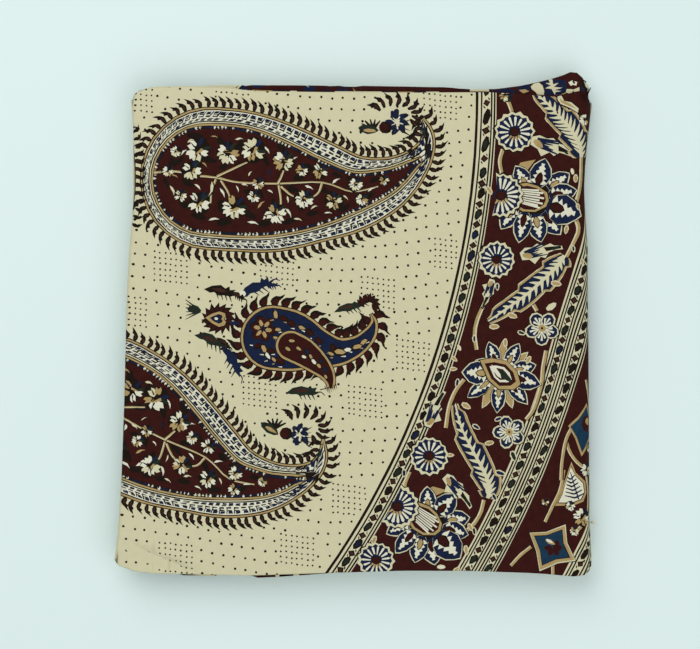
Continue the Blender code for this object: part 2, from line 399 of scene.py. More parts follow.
def net():
    """The net's flat points, row by row."""
    columns = []
    for start, end, count in NET_SPANS:
        shares = [i / count for i in range(count)]
        if start == "R1 top":
            shares = EAR_SHARES
        if start == "L2 top":
            shares = [0.0] + [1.0 - share for share in reversed(EAR_SHARES[1:])]
        columns += [(start, end, share) for share in shares]
    columns.append(("hem high", "hem high", 0.0))
    points = []
    for row in net_rows():
        y = np.repeat(depth_guess(np.array([depth_position(row, -152.0, BACK_LINE)])), len(columns))
        for _ in range(3):
            marks = crosswise(y)[1]
            marks["hem low"], marks["hem high"] = (np.full(y.shape, hem) for hem in HEMS_ACROSS)
            ends = [(marks[a][k], marks[b][k], t) for k, (a, b, t) in enumerate(columns)]
            line = np.array([low + (high - low) * t for low, high, t in ends])
            edges = fold_edges(line, y)
            v = depth_position(row, *edges)
            y = lengthwise(v, *edges)[0]
        points.append(np.stack([line, v], axis=-1))
    return np.array(points)


# The print, laid down block by block. Each ink's colour is linear red, green, blue, with how much it varies
# where the block pressed unevenly. The first is the ground.
INKS = {
    "cream": ((0.619, 0.574, 0.374), 0.05),
    "black": ((0.011, 0.0065, 0.004), 0.4),
    "red": ((0.036, 0.0062, 0.0045), 0.35),
    "blue": ((0.008, 0.0140, 0.042), 0.4),
    "gold": ((0.395, 0.275, 0.115), 0.22),
    "green": ((0.015, 0.022, 0.015), 0.35),
    "white": ((0.700, 0.675, 0.520), 0.06),
    "brown": ((0.046, 0.017, 0.011), 0.35),
    "teal": ((0.009, 0.034, 0.066), 0.4),
}
hand = random.Random(11)
prints = []


def paint(ink, points, shake=0.1):
    """Print one closed shape, with a block's small unevenness. Later shapes cover earlier ones."""
    shaken = [(u + hand.uniform(-shake, shake), v + hand.uniform(-shake, shake)) for u, v in points]
    prints.append((ink, shaken))


def around(place, degrees, reach, rise=None):
    """The spot at some reach from a place. Rise is the reach along v, where that differs."""
    a = math.radians(degrees)
    return place[0] + reach * math.cos(a), place[1] + (reach if rise is None else rise) * math.sin(a)


def placed(shape, place, turn, scale=1.0):
    """Points of a motif's own shape, turned clockwise as seen on the cloth, scaled and moved to a place."""
    c, s = math.cos(math.radians(turn)), math.sin(math.radians(turn))
    return [(place[0] + scale * (x * c - y * s), place[1] + scale * (x * s + y * c)) for x, y in shape]


def at(place, turn, x, y=0.0, scale=1.0):
    """One point of a motif's own shape, placed."""
    return placed([(x, y)], place, turn, scale)[0]


def oval(long, wide, count=8, squeeze=0.0):
    """An oval along x, pointed at its far end as squeeze nears 1."""
    shape = []
    for i in range(count):
        a = 2 * math.pi * i / count
        pinch = 1.0 - squeeze * max(0.0, math.cos(a)) ** 1.5
        shape.append((long * math.cos(a), wide * math.sin(a) * pinch))
    return shape


def blot(ink, long, wide, place, turn=0.0, count=7, squeeze=0.0, shake=0.2):
    """Print one oval or petal."""
    paint(ink, placed(oval(long, wide, count, squeeze), place, turn), shake)


def curve(points, count):
    """A smooth line through points of any size of row, in count steps a span."""
    rows = np.array(points, float)
    padded = np.vstack([2 * rows[0] - rows[1], rows, 2 * rows[-1] - rows[-2]])
    line = []
    for i in range(1, len(padded) - 2):
        p0, p1, p2, p3 = padded[i - 1:i + 3]
        for j in range(count):
            t = j / count
            line.append(0.5 * (2 * p1 + (p2 - p0) * t + (2 * p0 - 5 * p1 + 4 * p2 - p3) * t * t
                               + (3 * p1 - 3 * p2 + p3 - p0) * t ** 3))
    line.append(rows[-1])
    return np.array(line)


def sideways(line):
    """Unit directions along and across a line of points, and the length of its steps."""
    run = np.gradient(line[:, :2], axis=0)
    length = np.maximum(np.hypot(run[:, 0], run[:, 1]), 1e-9)
    run /= length[:, None]
    return run, np.stack([-run[:, 1], run[:, 0]], axis=1), length


def stroke(ink, points, start, end=None, shake=0.08):
    """A drawn line whose width goes from start to end."""
    line = np.array(points, float)
    width = np.linspace(start, start if end is None else end, len(line))[:, None] / 2
    off = sideways(line)[1] * width
    paint(ink, np.vstack([line[:, :2] + off, (line[:, :2] - off)[::-1]]), shake)


SKEW = 6.0  # how much wider the outer rings run near the back edge, where one block was set down askew


def ring_piece(ink, inner, outer, start, end, step=1.3):
    """Part of a ring about the medallion's middle, between two angles in degrees below the horizontal."""
    count = max(2, int(abs(end - start) / step))
    angles = [start + (end - start) * i / count for i in range(count + 1)]
    near = [around((0, 0), a, inner + drift(inner, a)) for a in reversed(angles)]
    paint(ink, [around((0, 0), a, outer + drift(outer, a)) for a in angles] + near, 0.08)


def drift(radius, degrees):
    return SKEW * float(ease(15.0, 7.0, degrees)) if radius > 590 and degrees < 60 else 0.0


# The round medallion's rings, in millimetres from its middle: pairs of dark lines between red bands.
RED_RINGS = ((538.0, 593.0), (615.0, 653.0))
LINE_RINGS = (
    (525.0, 526.7), (528.2, 529.2), (534.5, 535.5), (536.3, 537.4), (594.1, 595.1), (595.9, 596.8),
    (601.4, 602.3), (603.1, 604.2), (605.0, 606.1), (606.9, 607.8), (611.8, 612.7), (613.4, 614.5),
    (654.2, 655.2), (656.1, 657.0), (661.8, 662.8), (663.8, 664.9), (669.2, 670.3), (671.4, 672.4),
)
SEEN = (-5.0, 36.0)  # degrees round the medallion that the top of the stack shows
for inner, outer in sorted(RED_RINGS + LINE_RINGS):
    red = (inner, outer) in RED_RINGS
    ring_piece("red" if red else "black", inner, outer, *SEEN)
    if red:
        ring_piece("red", inner, outer, SEEN[1], 360 + SEEN[0], 3.0)

# Bead rows of the stripes: radius, half width, step in degrees, first angle.
BEAD_ROWS = (
    (531.9, 2.3, 0.7, -4.0), (599.1, 2.1, 0.62, -4.3), (609.8, 2.0, 0.64, -4.0), (659.4, 2.0, 0.62, -4.0),
    (667.0, 2.0, 0.62, -4.2),
)
for radius, half, step, angle in BEAD_ROWS:
    dark = True
    while angle < SEEN[1] - 1:
        longer = 1.35 if angle < 5 and radius < 540 else 1.0
        place = around((0, 0), angle, radius + drift(radius, angle))
        if dark:
            blot("black", hand.uniform(3.5, 4.3) * longer, half * 1.04, place, angle + 103, 7, 0.4, 0.3)
            long = hand.uniform(2.2, 2.7) * longer
            ink = hand.choice(("green", "green", "blue", "black"))
            blot(ink, long, half * 0.58, place, angle + hand.uniform(97, 104), 6, 0.3, 0.12)
        else:
            blot("black", 2.5, half * 1.12, place, angle + 90 + hand.uniform(-15, 15), 4, shake=0.3)
            blot("brown", 1.5, half * 0.66, place, angle + 90, 4)
            for side in (-1, 1):
                spot = at(place, angle + 90, side * 2.6, side * half * 0.62)
                blot("black", 1.3, 0.5, spot, angle + 60, 4, shake=0.15)
        angle += step * hand.uniform(0.95, 1.05) * longer
        dark = not dark


# The border between the rings: rosettes, palmettes, buds, long leaves and gold stems, on dark red.
def mirrored(side):
    """The other side of a shape that is alike both ways, from its tip back."""
    return [(x, -y) for x, y in reversed(side)]


def rosette(place, size, turn, petals=15, part=360.0):
    """A round flower: scalloped blue disc edged in cream, white spoke petals and a red-brown eye."""
    whole = part >= 359
    step = part / petals
    for ink, reach in (("black", 1.1), ("cream", 1.03), ("blue", 0.9)):
        edge = []
        for i in range(petals * 2 + (0 if whole else 1)):
            r = size * reach * (hand.uniform(0.97, 1.04) if i % 2 == 0 else hand.uniform(0.88, 0.92))
            edge.append(around(place, turn - part / 2 + step * i / 2, r))
        if not whole:
            edge.append(at(place, turn, -0.16 * size))
        paint(ink, edge, 0.15)
    for i in range(petals):
        a = turn - part / 2 + step * (i + 0.5)
        long, wide = size * hand.uniform(0.19, 0.28), size * hand.uniform(0.055, 0.075)
        side = [(-long, -wide * 0.45), (long * 0.7, -wide)]
        spoke = side + [(long, 0)] + mirrored(side)
        paint("white", placed(spoke, around(place, a, size * 0.56), a))
    blot("blue", 0.31 * size, 0.31 * size, place, turn, 9, shake=0.15)
    for i in range(4):
        a = turn + 35 + 28 * i
        bar = [around(place, a, reach * size) for reach in (0.24, 0.46)]
        stroke("gold", bar, 0.11 * size, 0.05 * size)
    blot("black", 0.26 * size, 0.25 * size, place, turn, 9, shake=0.12)
    blot("red", 0.21 * size, 0.2 * size, place, turn, shake=0.1)


def half_rosette(place, size, turn):
    rosette(place, size, turn, 11, 215.0)


def five_petals(place, size, turn):
    """A flower of five round petals, each white veined on blue with a cream edge, and a gold eye."""
    turns = [turn + 72 * i for i in range(5)]
    for a in turns:
        blot("black", 0.52 * size, 0.46 * size, around(place, a, 0.58 * size), a, 9)
    for a in turns:
        middle = around(place, a, 0.58 * size)
        blot("cream", 0.47 * size, 0.42 * size, middle, a, 9, shake=0.16)
        blot("blue", 0.37 * size, 0.35 * size, middle, a, 8, shake=0.12)
    for a in turns:
        for lean, long in ((-20, 0.62), (0, 0.74), (20, 0.62)):
            vein = [around(place, a, 0.2 * size), around(place, a + lean, long * size)]
            stroke("white", vein, 0.03 * size, 0.13 * size, 0.06)
    blot("gold", 0.24 * size, 0.22 * size, place, turn, shake=0.1)
    blot("black", 0.08 * size, 0.08 * size, place, turn, 5, shake=0.05)


def pointed_petal(place, long, wide, turn, heart):
    """One pointed petal: dark line, cream edge, blue field, ragged white middle and a coloured heart."""
    for ink, grow in (("black", 1.2), ("cream", 0.75), ("blue", 0.1)):
        rows = ((0.0, 0.35), (0.2, 0.78), (0.45, 1.0), (0.72, 0.78), (0.9, 0.34), (1.0, 0.0))
        side = [((long + grow) * x, (wide / 2 + grow * 0.8) * y) for x, y in rows]
        paint(ink, placed(side + mirrored(side[:-1]), place, turn), 0.2)
    jag = [(long * (0.12 + 0.08 * i), wide * (0.42 if i % 2 else 0.2) * (1.1 - 0.1 * i)) for i in range(10)]
    paint("white", placed(jag + mirrored(jag), place, turn), 0.15)
    middle = at(place, turn, long * 0.3)
    blot("black", long * 0.24, wide * 0.2, middle, turn, 7, 0.4, 0.1)
    blot(heart, long * 0.2, wide * 0.15, middle, turn, 6, 0.4, 0.08)


def grown(shape, place, turn, scale, rims, shake):
    """A shape printed in several sizes, each in its ink, from the outermost in."""
    for ink, grow in rims:
        paint(ink, placed(shape, place, turn, scale * grow), shake)


# Petals of the palmette in its own measure: x, y, turn, length, width, heart. Its stalk end is at the left.
PALMETTE = (
    (-3.0, -6.0, -128, 13.0, 8.0, "gold"), (8.5, -7.0, -44, 13.5, 9.0, "gold"),
    (2.0, -7.0, -82, 15.5, 10.5, "red"), (9.5, -3.0, -20, 14.5, 9.5, "red"),
    (7.5, 6.5, 44, 14.5, 10.0, "red"), (-8.0, 5.5, 116, 14.0, 8.0, "gold"),
    (3.0, 8.0, 70, 15.0, 9.0, "gold"), (-2.5, 7.5, 94, 16.5, 8.5, "red"), (9.0, 2.0, 10, 18.5, 15.0, "red"),
)
BRACT = ((-9, -7), (-12, -13), (-9, -19), (-1, -22), (-5, -15), (-2, -8))
BUD = ((-10.5, 5.0), (-4.0, 7.6), (3.0, 7.0), (8.5, 3.0), (9.6, -0.6), (8.0, -4.6), (2.5, -7.6), (-4.0, -8.4),
       (-10.5, -6.5))


def palmette(place, size, turn):
    """The large open flower: petals round a gold-rimmed bud of white and red-brown rays."""
    paint("gold", placed(BRACT, place, turn, size), 0.2)
    paint("black", placed(oval(15.5, 15.0, 12), at(place, turn, 3.0, 0.5, size), turn, size), 0.6)
    for x, y, lean, long, wide, heart in PALMETTE:
        pointed_petal(at(place, turn, x, y, size), 1.04 * long * size, 1.12 * wide * size, lean + turn, heart)
    grown(BUD, place, turn, size, (("black", 1.08), ("gold", 1.0), ("black", 0.83), ("red", 0.79)), 0.12)
    for i in range(8):
        a = -42 + 12 * i
        root = (-8.9, -0.8 + 5.2 * math.sin(math.radians(a)))
        ray = [root, around((0.4, -0.5), a, 6.4 if i % 2 else 4.0, 7.2)]
        stroke("white", placed(ray, place, turn, size), 0.55 * size, 1.0 * size, 0.1)


# Petals of the pointed flower: angle, reach, width, heart. Gold ones stand between the blue.
BIG_PETALS = (
    (-85, 21.5, 5.5, None), (-40, 20.5, 5.5, None), (72, 22.5, 6.5, None), (117, 24.5, 6.5, None),
    (-150, 17.0, 8.5, "gold"), (-109, 21.5, 8.5, "red"), (-60, 22.3, 8.5, "gold"), (-15, 21.8, 9.5, "gold"),
    (50, 25.0, 8.5, "red"), (95, 24.8, 8.5, "gold"), (143, 25.0, 8.0, "gold"), (16, 25.0, 11.0, "red"),
    (183, 23.0, 14.0, "gold"),
)
EYE = ((-0.56, -0.18), (-0.3, -0.3), (0.06, -0.33), (0.36, -0.16), (0.52, 0.1), (0.4, 0.26), (0.06, 0.36),
       (-0.24, 0.22))


def big_flower(place, size, turn):
    """The pointed-petalled flower with an eye-shaped heart."""
    for degrees, reach, wide, heart in BIG_PETALS:
        root = around(place, degrees, 7.0, 5.6)
        if heart:
            pointed_petal(root, reach - 6.4, wide, degrees, heart)
            continue
        long = reach * 0.36
        for ink, grow in (("cream", 1.0), ("gold", 0.0)):
            blot(ink, long + grow, wide / 2 + grow * 0.6, at(root, degrees, long), degrees, 8, 0.7, 0.15)
    rims = (("black", 1.16), ("gold", 1.1), ("black", 0.84), ("red", 0.8), ("white", 0.6), ("red", 0.42))
    grown(EYE, place, turn, size, rims, 0.15)
    middle = at(place, turn, 0.12 * size, 0.02 * size)
    blot("green", 0.24 * size, 0.09 * size, middle, turn + 24, 7, 0.5, 0.1)
    middle = at(place, turn, -0.12 * size, -0.03 * size)
    blot("white", 0.22 * size, 0.06 * size, middle, turn + 38, 6, 0.4, 0.1)


LEAF_STEPS = 3.4  # notches along each side of a long leaf


def feather_leaf(spine, half):
    """A long leaf: gold notched outline, blue field, and a wide cream rib with barbs towards the tip."""
    line = curve(spine, 6)
    run, across, _ = sideways(line)
    count = len(line)
    shape = np.sin(np.linspace(0.0, 1.0, count) ** 0.75 * math.pi) ** 0.6 * half
    shape[0] = shape[-1] = 0.0
    for ink, grow in (("black", 1.5), ("cream", 1.05), ("gold", 0.6), ("black", -0.55), ("blue", -0.85)):
        outline = []
        for side in (1, -1):
            rim = []
            for i in range(count):
                saw = 2.6 * ((i * LEAF_STEPS / count + (0.0 if side > 0 else 0.5)) % 1.0) - 1.0
                reach = shape[i] + (grow + saw) * min(1.0, shape[i] / 3.0)
                if reach > 0.2:
                    rim.append(line[i] + across[i] * side * reach)
            outline += rim[::side]
        paint(ink, outline, 0.14)
    stroke("cream", line[1:-1], 2.4, 1.0)
    for i in range(3, count - 1, 2):
        for side in (1, -1):
            root = line[i - (1 if side > 0 else 0)]
            reach = max(0.0, shape[i] - hand.uniform(0.9, 1.7))
            tip = root + across[i] * side * reach + run[i] * reach * 0.85
            middle = root * 0.5 + tip * 0.5 + across[i] * side * reach * 0.08
            stroke("cream", [root, middle, tip], 2.5, 0.3, 0.15)


SPRIG = ((-10, -2.6), (-6.4, -4.4), (-2.6, -3.4), (0.4, -4.8), (4.0, -2.4), (7.6, -2.4), (9.6, -0.8),
         (13.4, 0.6), (13.2, 2.6), (8.6, 1.6), (5.4, 1.8), (3.0, 4.2), (0.2, 2.8), (-3.6, 5.8), (-5.8, 2.4),
         (-9.8, 1.2))
SPRIG_TIP = ((3.6, -1.6), (8.6, -0.4), (12.8, 0.6), (12.4, 1.9), (7.4, 1.2), (4.4, 0.9))


def sprig(place, size, turn):
    """A small closed bud: ragged cream edge, blue rays from a gold foot, and a dark green tip."""
    paint("black", placed([(x * 1.05, y * 1.08) for x, y in SPRIG], place, turn, size), 0.35)
    paint("cream", placed(SPRIG, place, turn, size), 0.3)
    for i in range(6):
        foot, tip = (-7.2 + 0.3 * i, -2.2 + 0.7 * i), (2.0 + 2.4 * math.sin(1.3 * i + 1.0), -3.6 + 1.25 * i)
        stroke("blue", placed([foot, tip], place, turn, size), 1.5 * size, 0.7 * size, 0.25)
    paint("gold", placed(oval(3.0, 1.5, 7), at(place, turn, -6.2, 0.0, size), turn + 25, size), 0.3)
    paint("black", placed(SPRIG_TIP, place, turn, size), 0.25)
    paint("green", placed(oval(2.8, 0.9, 6, 0.3), at(place, turn, 9.6, 0.7, size), turn, size), 0.15)


# Gold stems of the border: the points that each one winds through.
STEMS = (
    ((590.9, 40.5), (590.2, 57.4), (586.5, 74.2), (589.0, 84.2), (587.1, 91.8), (580.2, 105.5)),
    ((542.1, 35.5), (540.2, 43.0), (541.5, 51.1)), ((543.4, 1.8), (546.5, 8.0), (548.4, 14.2)),
    ((525.2, 160.5), (524.0, 151.1), (525.2, 143.0), (529.6, 132.4), (534.0, 124.2)),
    ((569.0, 161.1), (567.1, 171.8), (565.9, 182.4), (561.5, 196.8), (556.5, 204.2)),
    ((517.8, 179.2), (512.1, 186.8), (508.4, 196.8), (506.5, 209.2)),
    ((530.2, 254.2), (527.8, 263.0), (522.8, 270.5), (516.5, 275.5)),
    ((484.0, 236.8), (480.9, 244.2), (481.5, 249.2)), ((560.9, 131.8), (563.4, 136.1)),
)
for points in STEMS:
    line = curve(points, 4)
    side = sideways(line)[1]
    stroke("black", line, 3.2)
    stroke("cream", line + side * 0.3, 2.3)
    stroke("gold", line - side * 0.15, 1.52)

# The border's motifs: what it is, u and v, size, turn.
BORDER = (
    (rosette, (549.2, 24.6), 12.4, 10), (rosette, (537.9, 104.3), 11.2, 20),
    (rosette, (495.9, 226.8), 11.8, 5), (rosette, (462.8, 291.8), 11.2, 15),
    (five_petals, (566.3, 147.1), 10.6, 20), (five_petals, (545.8, 211.8), 10.2, 35),
    (palmette, (559.8, 66.4), 1.12, 8), (palmette, (494.0, 268.0), 1.08, 36),
    (half_rosette, (540.6, 64.2), 13.6, 5), (half_rosette, (475.9, 258.3), 13.2, 28),
    (big_flower, (540.4, 175.6), 24.0, 16), (sprig, (571.5, 33.9), 1.25, 14),
    (sprig, (564.0, 99.6), 1.15, -18), (sprig, (512.8, 247.4), 1.1, 45), (sprig, (499.0, 199.2), 1.05, -70),
    (sprig, (532.8, 124.2), 0.8, 105),
)
for motif, place, size, turn in BORDER:
    motif(place, size, turn)

# The border's three long leaves: the points of each rib from stalk to tip, and its half width.
LEAVES = (
    (((590.9, 41.8), (589.6, 33.0), (585.2, 24.2), (579.0, 16.8), (570.9, 8.0), (560.2, -2.0)), 7.6),
    (((580.9, 100.5), (576.5, 107.4), (567.8, 116.1), (556.5, 126.1), (545.2, 134.2), (530.2, 144.2)), 6.4),
    (((532.1, 254.2), (533.4, 246.8), (530.2, 236.8), (522.8, 223.0), (515.9, 208.6), (511.5, 191.8)), 6.4),
)
for spine, half in LEAVES:
    feather_leaf(spine, half)


# The two large drops on the cream field: a toothed fringe, a ring of links, and a flowering branch on red.
def teardrop(rows, inset, steps=4, cap=14):
    """Outline of a tailed drop, which is a chain of circles (u, v, radius), drawn in by inset."""
    line = curve(rows, steps)
    run, across, length = sideways(line)
    shrink = np.clip(np.gradient(line[:, 2]) / length, -0.98, 0.98)[:, None]
    radius = np.maximum(line[:, 2:3] - inset, 0.12)
    lean = np.sqrt(1 - shrink ** 2)
    one, two = (line[:, :2] + radius * (-shrink * run + side * lean * across) for side in (1, -1))
    first, last = (math.atan2(*(rim[0] - line[0, :2])[::-1]) for rim in (one, two))
    while last < first:
        last += 2 * math.pi
    turn = np.linspace(first, last, cap + 2)[1:-1]
    head = line[0, :2] + radius[0] * np.stack([np.cos(turn), np.sin(turn)], axis=1)
    return np.vstack([one[::-1], head, two])


def bands(rows, *layers):
    """A drop printed in layers: ink, and how far in from its outline."""
    for ink, inset in layers:
        paint(ink, teardrop(rows, inset))


def even(line, step):
    """Points every step along a line, each with the direction along it and the outward one."""
    run = distances(line)
    marks = np.arange(step * 0.5, run[-1], step)
    points, ahead = (
        np.stack([np.interp(mark, run, row) for row in line.T], axis=1) for mark in (marks, marks + 0.5)
    )
    along = ahead - points
    along /= np.maximum(np.hypot(along[:, 0], along[:, 1]), 1e-9)[:, None]
    return zip(points, along, np.stack([along[:, 1], -along[:, 0]], axis=1))


def carried(rows, degrees, shift):
    """Rows that start with u, v, moved round the medallion's middle and shifted."""
    c, s = math.cos(math.radians(degrees)), math.sin(math.radians(degrees))
    return [(p[0] * c - p[1] * s + shift[0], p[0] * s + p[1] * c + shift[1]) + tuple(p[2:]) for p in rows]


PETAL = ((0, -0.15), (0.5, -1.0), (1.3, -0.9), (1.05, -0.1), (1.45, 0.3), (1.1, 0.9), (0.45, 0.8))


def blossom(place, size, turn):
    """A small ragged flower: notched cream petals, dark and blue between them, and short gold bars."""
    disc = oval(size, size, 10)
    rough = [(x * hand.uniform(0.85, 1.25), y * hand.uniform(0.85, 1.25)) for x, y in disc]
    paint("black", placed(rough, place, turn), 0.2)
    petals = hand.choice((4, 5, 5))
    for i in range(petals):
        a = turn + 280 / petals * i + hand.uniform(-10, 10)
        long, wide = size * hand.uniform(0.5, 0.62), size * hand.uniform(0.26, 0.4)
        root = around(place, a, 0.2 * size)
        shape = [(x * long, y * wide) for x, y in PETAL]
        paint(hand.choice(("white", "white", "cream", "white", "gold")), placed(shape, root, a), 0.18)
        if i % 2:
            vein = placed([(0.3 * long, 0.0), (1.2 * long, 0.15 * wide)], root, a)
            stroke(hand.choice(("blue", "black")), vein, 0.14 * size, 0.05 * size, 0.08)
    for i, ink in enumerate(("blue", "green")):
        a = turn + 280 + 40 * i + hand.uniform(-15, 15)
        blot(ink, 0.42 * size, 0.17 * size, at(place, a, 0.75 * size), a, 6, 0.4, 0.15)
    for ink, thick, lift in (("gold", 0.26, -0.5), ("black", 0.16, 0.5)):
        a = turn + hand.uniform(0, 180)
        ends = placed([(-0.4 * size, 0.2 * size * lift), (0.4 * size, 0.5 * size * lift)], place, a)
        stroke(ink, ends, thick * size, 0.1 * size, 0.1)


# A hooked tooth and its lighter heart: x along the edge, y outward.
TOOTH = (
    (0.18, -0.08), (0.44, 0.26), (0.46, 0.52), (0.22, 0.78), (-0.2, 0.94), (-0.74, 1.1), (-0.4, 0.78),
    (-0.52, 0.62), (-0.16, 0.5), (-0.22, 0.22), (-0.1, -0.08),
)
TOOTH_HEART = ((0.08, 0.1), (0.26, 0.32), (0.2, 0.56), (0.0, 0.62), (0.0, 0.3))
TEETH = ((TOOTH, "black"), (TOOTH_HEART, "brown"))
TICK = ((-0.7, 0.9), (0.5, 1.1), (0.9, 0.1), (0.1, 0.3), (0.2, -0.9), (-0.5, -0.3))
SMALL_LEAF = ((-1.0, 0.1), (-0.4, -0.25), (0.3, -0.22), (1.05, 0.25), (0.35, 0.1), (-0.35, 0.2))
# The large drop as circles along its middle: u, v, radius. The ring is its outer gold line, the body its red
# field.
DROP_RING = (
    (360.2, 53.6, 44.4), (378.4, 55.2, 43.8), (397.8, 58.6, 40.6), (421.5, 61.1, 32.8), (446.5, 63.0, 24.1),
    (468.4, 57.7, 16.9), (484.0, 47.4, 10.6), (493.4, 35.5, 5.9), (495.2, 24.9, 3.1), (490.9, 14.9, 0.8),
)
DROP_BODY = (
    (357.1, 54.2, 33.8), (375.2, 55.5, 33.8), (395.2, 59.2, 30.0), (420.2, 62.4, 21.9), (446.5, 62.4, 12.5),
    (467.1, 56.8, 7.8), (477.8, 51.1, 5.0), (484.6, 46.1, 2.8), (488.4, 43.6, 1.6), (490.9, 41.8, 0.8),
)
# Inside it: stems, then blossoms (u, v, size, turn), small leaves (u, v, half length, turn, ink) and darker
# leaves on the red (u, v, half length, turn).
DROP_STEMS = (
    ((324.0, 49.9), (337.8, 49.2), (350.2, 51.8), (362.8, 53.0), (377.8, 56.1), (401.5, 56.8),
     (429.0, 56.1), (447.8, 61.8), (464.0, 58.6)),
    ((363.4, 52.4), (374.0, 47.4), (385.9, 41.8)),
    ((362.8, 54.2), (360.2, 61.8), (359.6, 69.2)),
    ((365.9, 54.9), (370.2, 61.8), (372.1, 66.8)),
    ((401.5, 56.8), (404.6, 49.9), (405.2, 45.5)),
    ((402.1, 58.0), (403.4, 69.2), (399.6, 74.9)),
    ((403.4, 58.6), (410.2, 64.2), (416.5, 65.5)),
    ((429.0, 56.8), (426.5, 63.0), (420.2, 66.8)),
)
DROP_BLOSSOMS = (
    (351.5, 36.1, 8.5, 20), (370.2, 38.0, 8, 0), (385.9, 36.1, 8.5, 40), (405.2, 43.0, 7.5, 10),
    (347.8, 48.6, 7, 0), (332.8, 49.2, 4, 0), (352.1, 68.6, 8, 15), (374.0, 71.8, 8.5, 30),
    (400.2, 75.5, 7.5, 0), (417.8, 66.8, 6.5, 20), (436.5, 68.0, 6.5, 0), (427.8, 49.2, 5.5, 30),
    (450.2, 57.4, 5, 0), (454.0, 66.8, 4.5, 20), (389.0, 56.8, 4.5, 0), (467.8, 54.9, 3.6, 0),
    (386.5, 64.9, 4.5, 30), (340.9, 64.2, 4.5, 10), (337.8, 36.8, 4, 30), (416.5, 48.6, 4.5, 0),
)
DROP_LEAVES = (
    (377.4, 28.9, 2.6, -10, "cream"), (394.6, 35.5, 3.2, 45, "white"), (342.1, 37.4, 3.0, -45, "white"),
    (355.9, 44.9, 2.2, 40, "gold"), (360.1, 60.1, 4.8, 98, "cream"), (367.1, 62.4, 3.2, 60, "white"),
    (351.5, 58.6, 2.8, 40, "white"), (335.8, 60.8, 3.2, 60, "cream"), (361.5, 78.9, 3.4, -8, "white"),
    (385.9, 81.1, 3.6, 10, "white"), (376.5, 60.2, 2.2, 70, "white"), (380.9, 57.4, 2.4, 10, "cream"),
    (390.6, 69.9, 3.2, -50, "gold"), (394.6, 76.8, 3.6, -40, "white"), (408.4, 74.9, 3.4, 50, "white"),
    (407.8, 66.8, 2.4, 80, "cream"), (396.8, 61.6, 2.0, 30, "white"), (342.1, 61.6, 3.0, 15, "blue"),
    (337.1, 51.8, 2.4, 20, "gold"), (328.8, 49.9, 2.6, 0, "gold"), (412.0, 41.0, 2.4, -30, "white"),
    (421.0, 59.0, 2.8, 20, "white"), (424.0, 71.5, 2.6, -30, "cream"), (437.5, 55.0, 2.8, -35, "white"),
    (444.0, 65.5, 2.4, 40, "cream"), (459.5, 60.5, 2.4, -30, "white"), (433.0, 75.0, 2.6, 0, "white"),
    (414.0, 79.0, 2.6, 10, "cream"), (347.0, 30.0, 2.4, -30, "cream"), (362.0, 27.5, 2.4, 10, "gold"),
    (396.0, 49.5, 2.4, 70, "blue"), (384.0, 50.5, 2.0, -60, "cream"),
)
DROP_SHADES = (
    (350, 27, 4, 10), (366, 31, 3.5, 60), (378, 33.5, 3.5, 100), (339, 43, 3.5, -40), (359, 42, 4, 20),
    (379, 45, 4, -20), (394, 42, 3.5, 60), (368, 46, 3, -30), (345, 56, 3.5, 30), (357, 67, 4, 80),
    (366, 70.5, 3.5, 100), (344, 70, 3.5, 20), (352, 77, 4, 15), (368, 81, 4, 0), (384, 76, 4, 30),
    (384, 62, 3.5, 0), (391, 63, 3, 60), (393, 81.5, 4, -10), (409, 80, 3.5, -20), (411, 60, 3.5, 20),
    (415, 53, 3.5, -20), (421, 46.5, 3, 30), (423, 75.5, 3.5, -20), (431, 61, 3.5, 30), (443, 72, 3.5, -30),
    (439, 51.5, 3, 20), (447, 54, 3, 0), (458, 64.5, 3, -40), (462, 54.5, 2.6, -20), (332, 57, 3, 70),
    (335, 43, 3, -70), (399, 70, 3, 90), (390, 30.5, 3, 40), (404, 34.5, 3.2, 35),
)
# Where the ring narrows into the tail its links close up into blots and slanting lines: ink, width, points.
TAIL_MARKS = (
    ("black", 1.2, (484.6, 41.4), (489.6, 38.0), (494.0, 34.4)),
    ("black", 1.0, (485.2, 43.8), (490.2, 40.8), (495.0, 37.6)),
    ("blue", 1.2, (486.8, 45.8), (491.0, 43.6), (495.2, 40.8)), ("blue", 3.4, (491.0, 30.0), (492.4, 33.4)),
    ("blue", 2.6, (489.2, 34.8), (491.2, 37.0)), ("blue", 3.0, (490.0, 46.4), (491.6, 49.0)),
    ("blue", 2.6, (487.6, 50.8), (489.6, 53.4)), ("green", 2.0, (492.4, 22.0), (493.0, 27.4)),
    ("black", 0.8, (494.4, 20.8), (495.0, 28.6)), ("black", 0.9, (488.6, 33.6), (487.0, 37.0)),
    ("black", 0.9, (493.0, 44.2), (490.4, 50.6), (486.4, 56.4)),
)
# The two drops: turned round the medallion's middle by degrees, then shifted.
DROPS = ((0.0, (0.0, 0.0)), (25.05, (-8.7, -5.0)))
LINK = 4.7  # length of one link of the ring


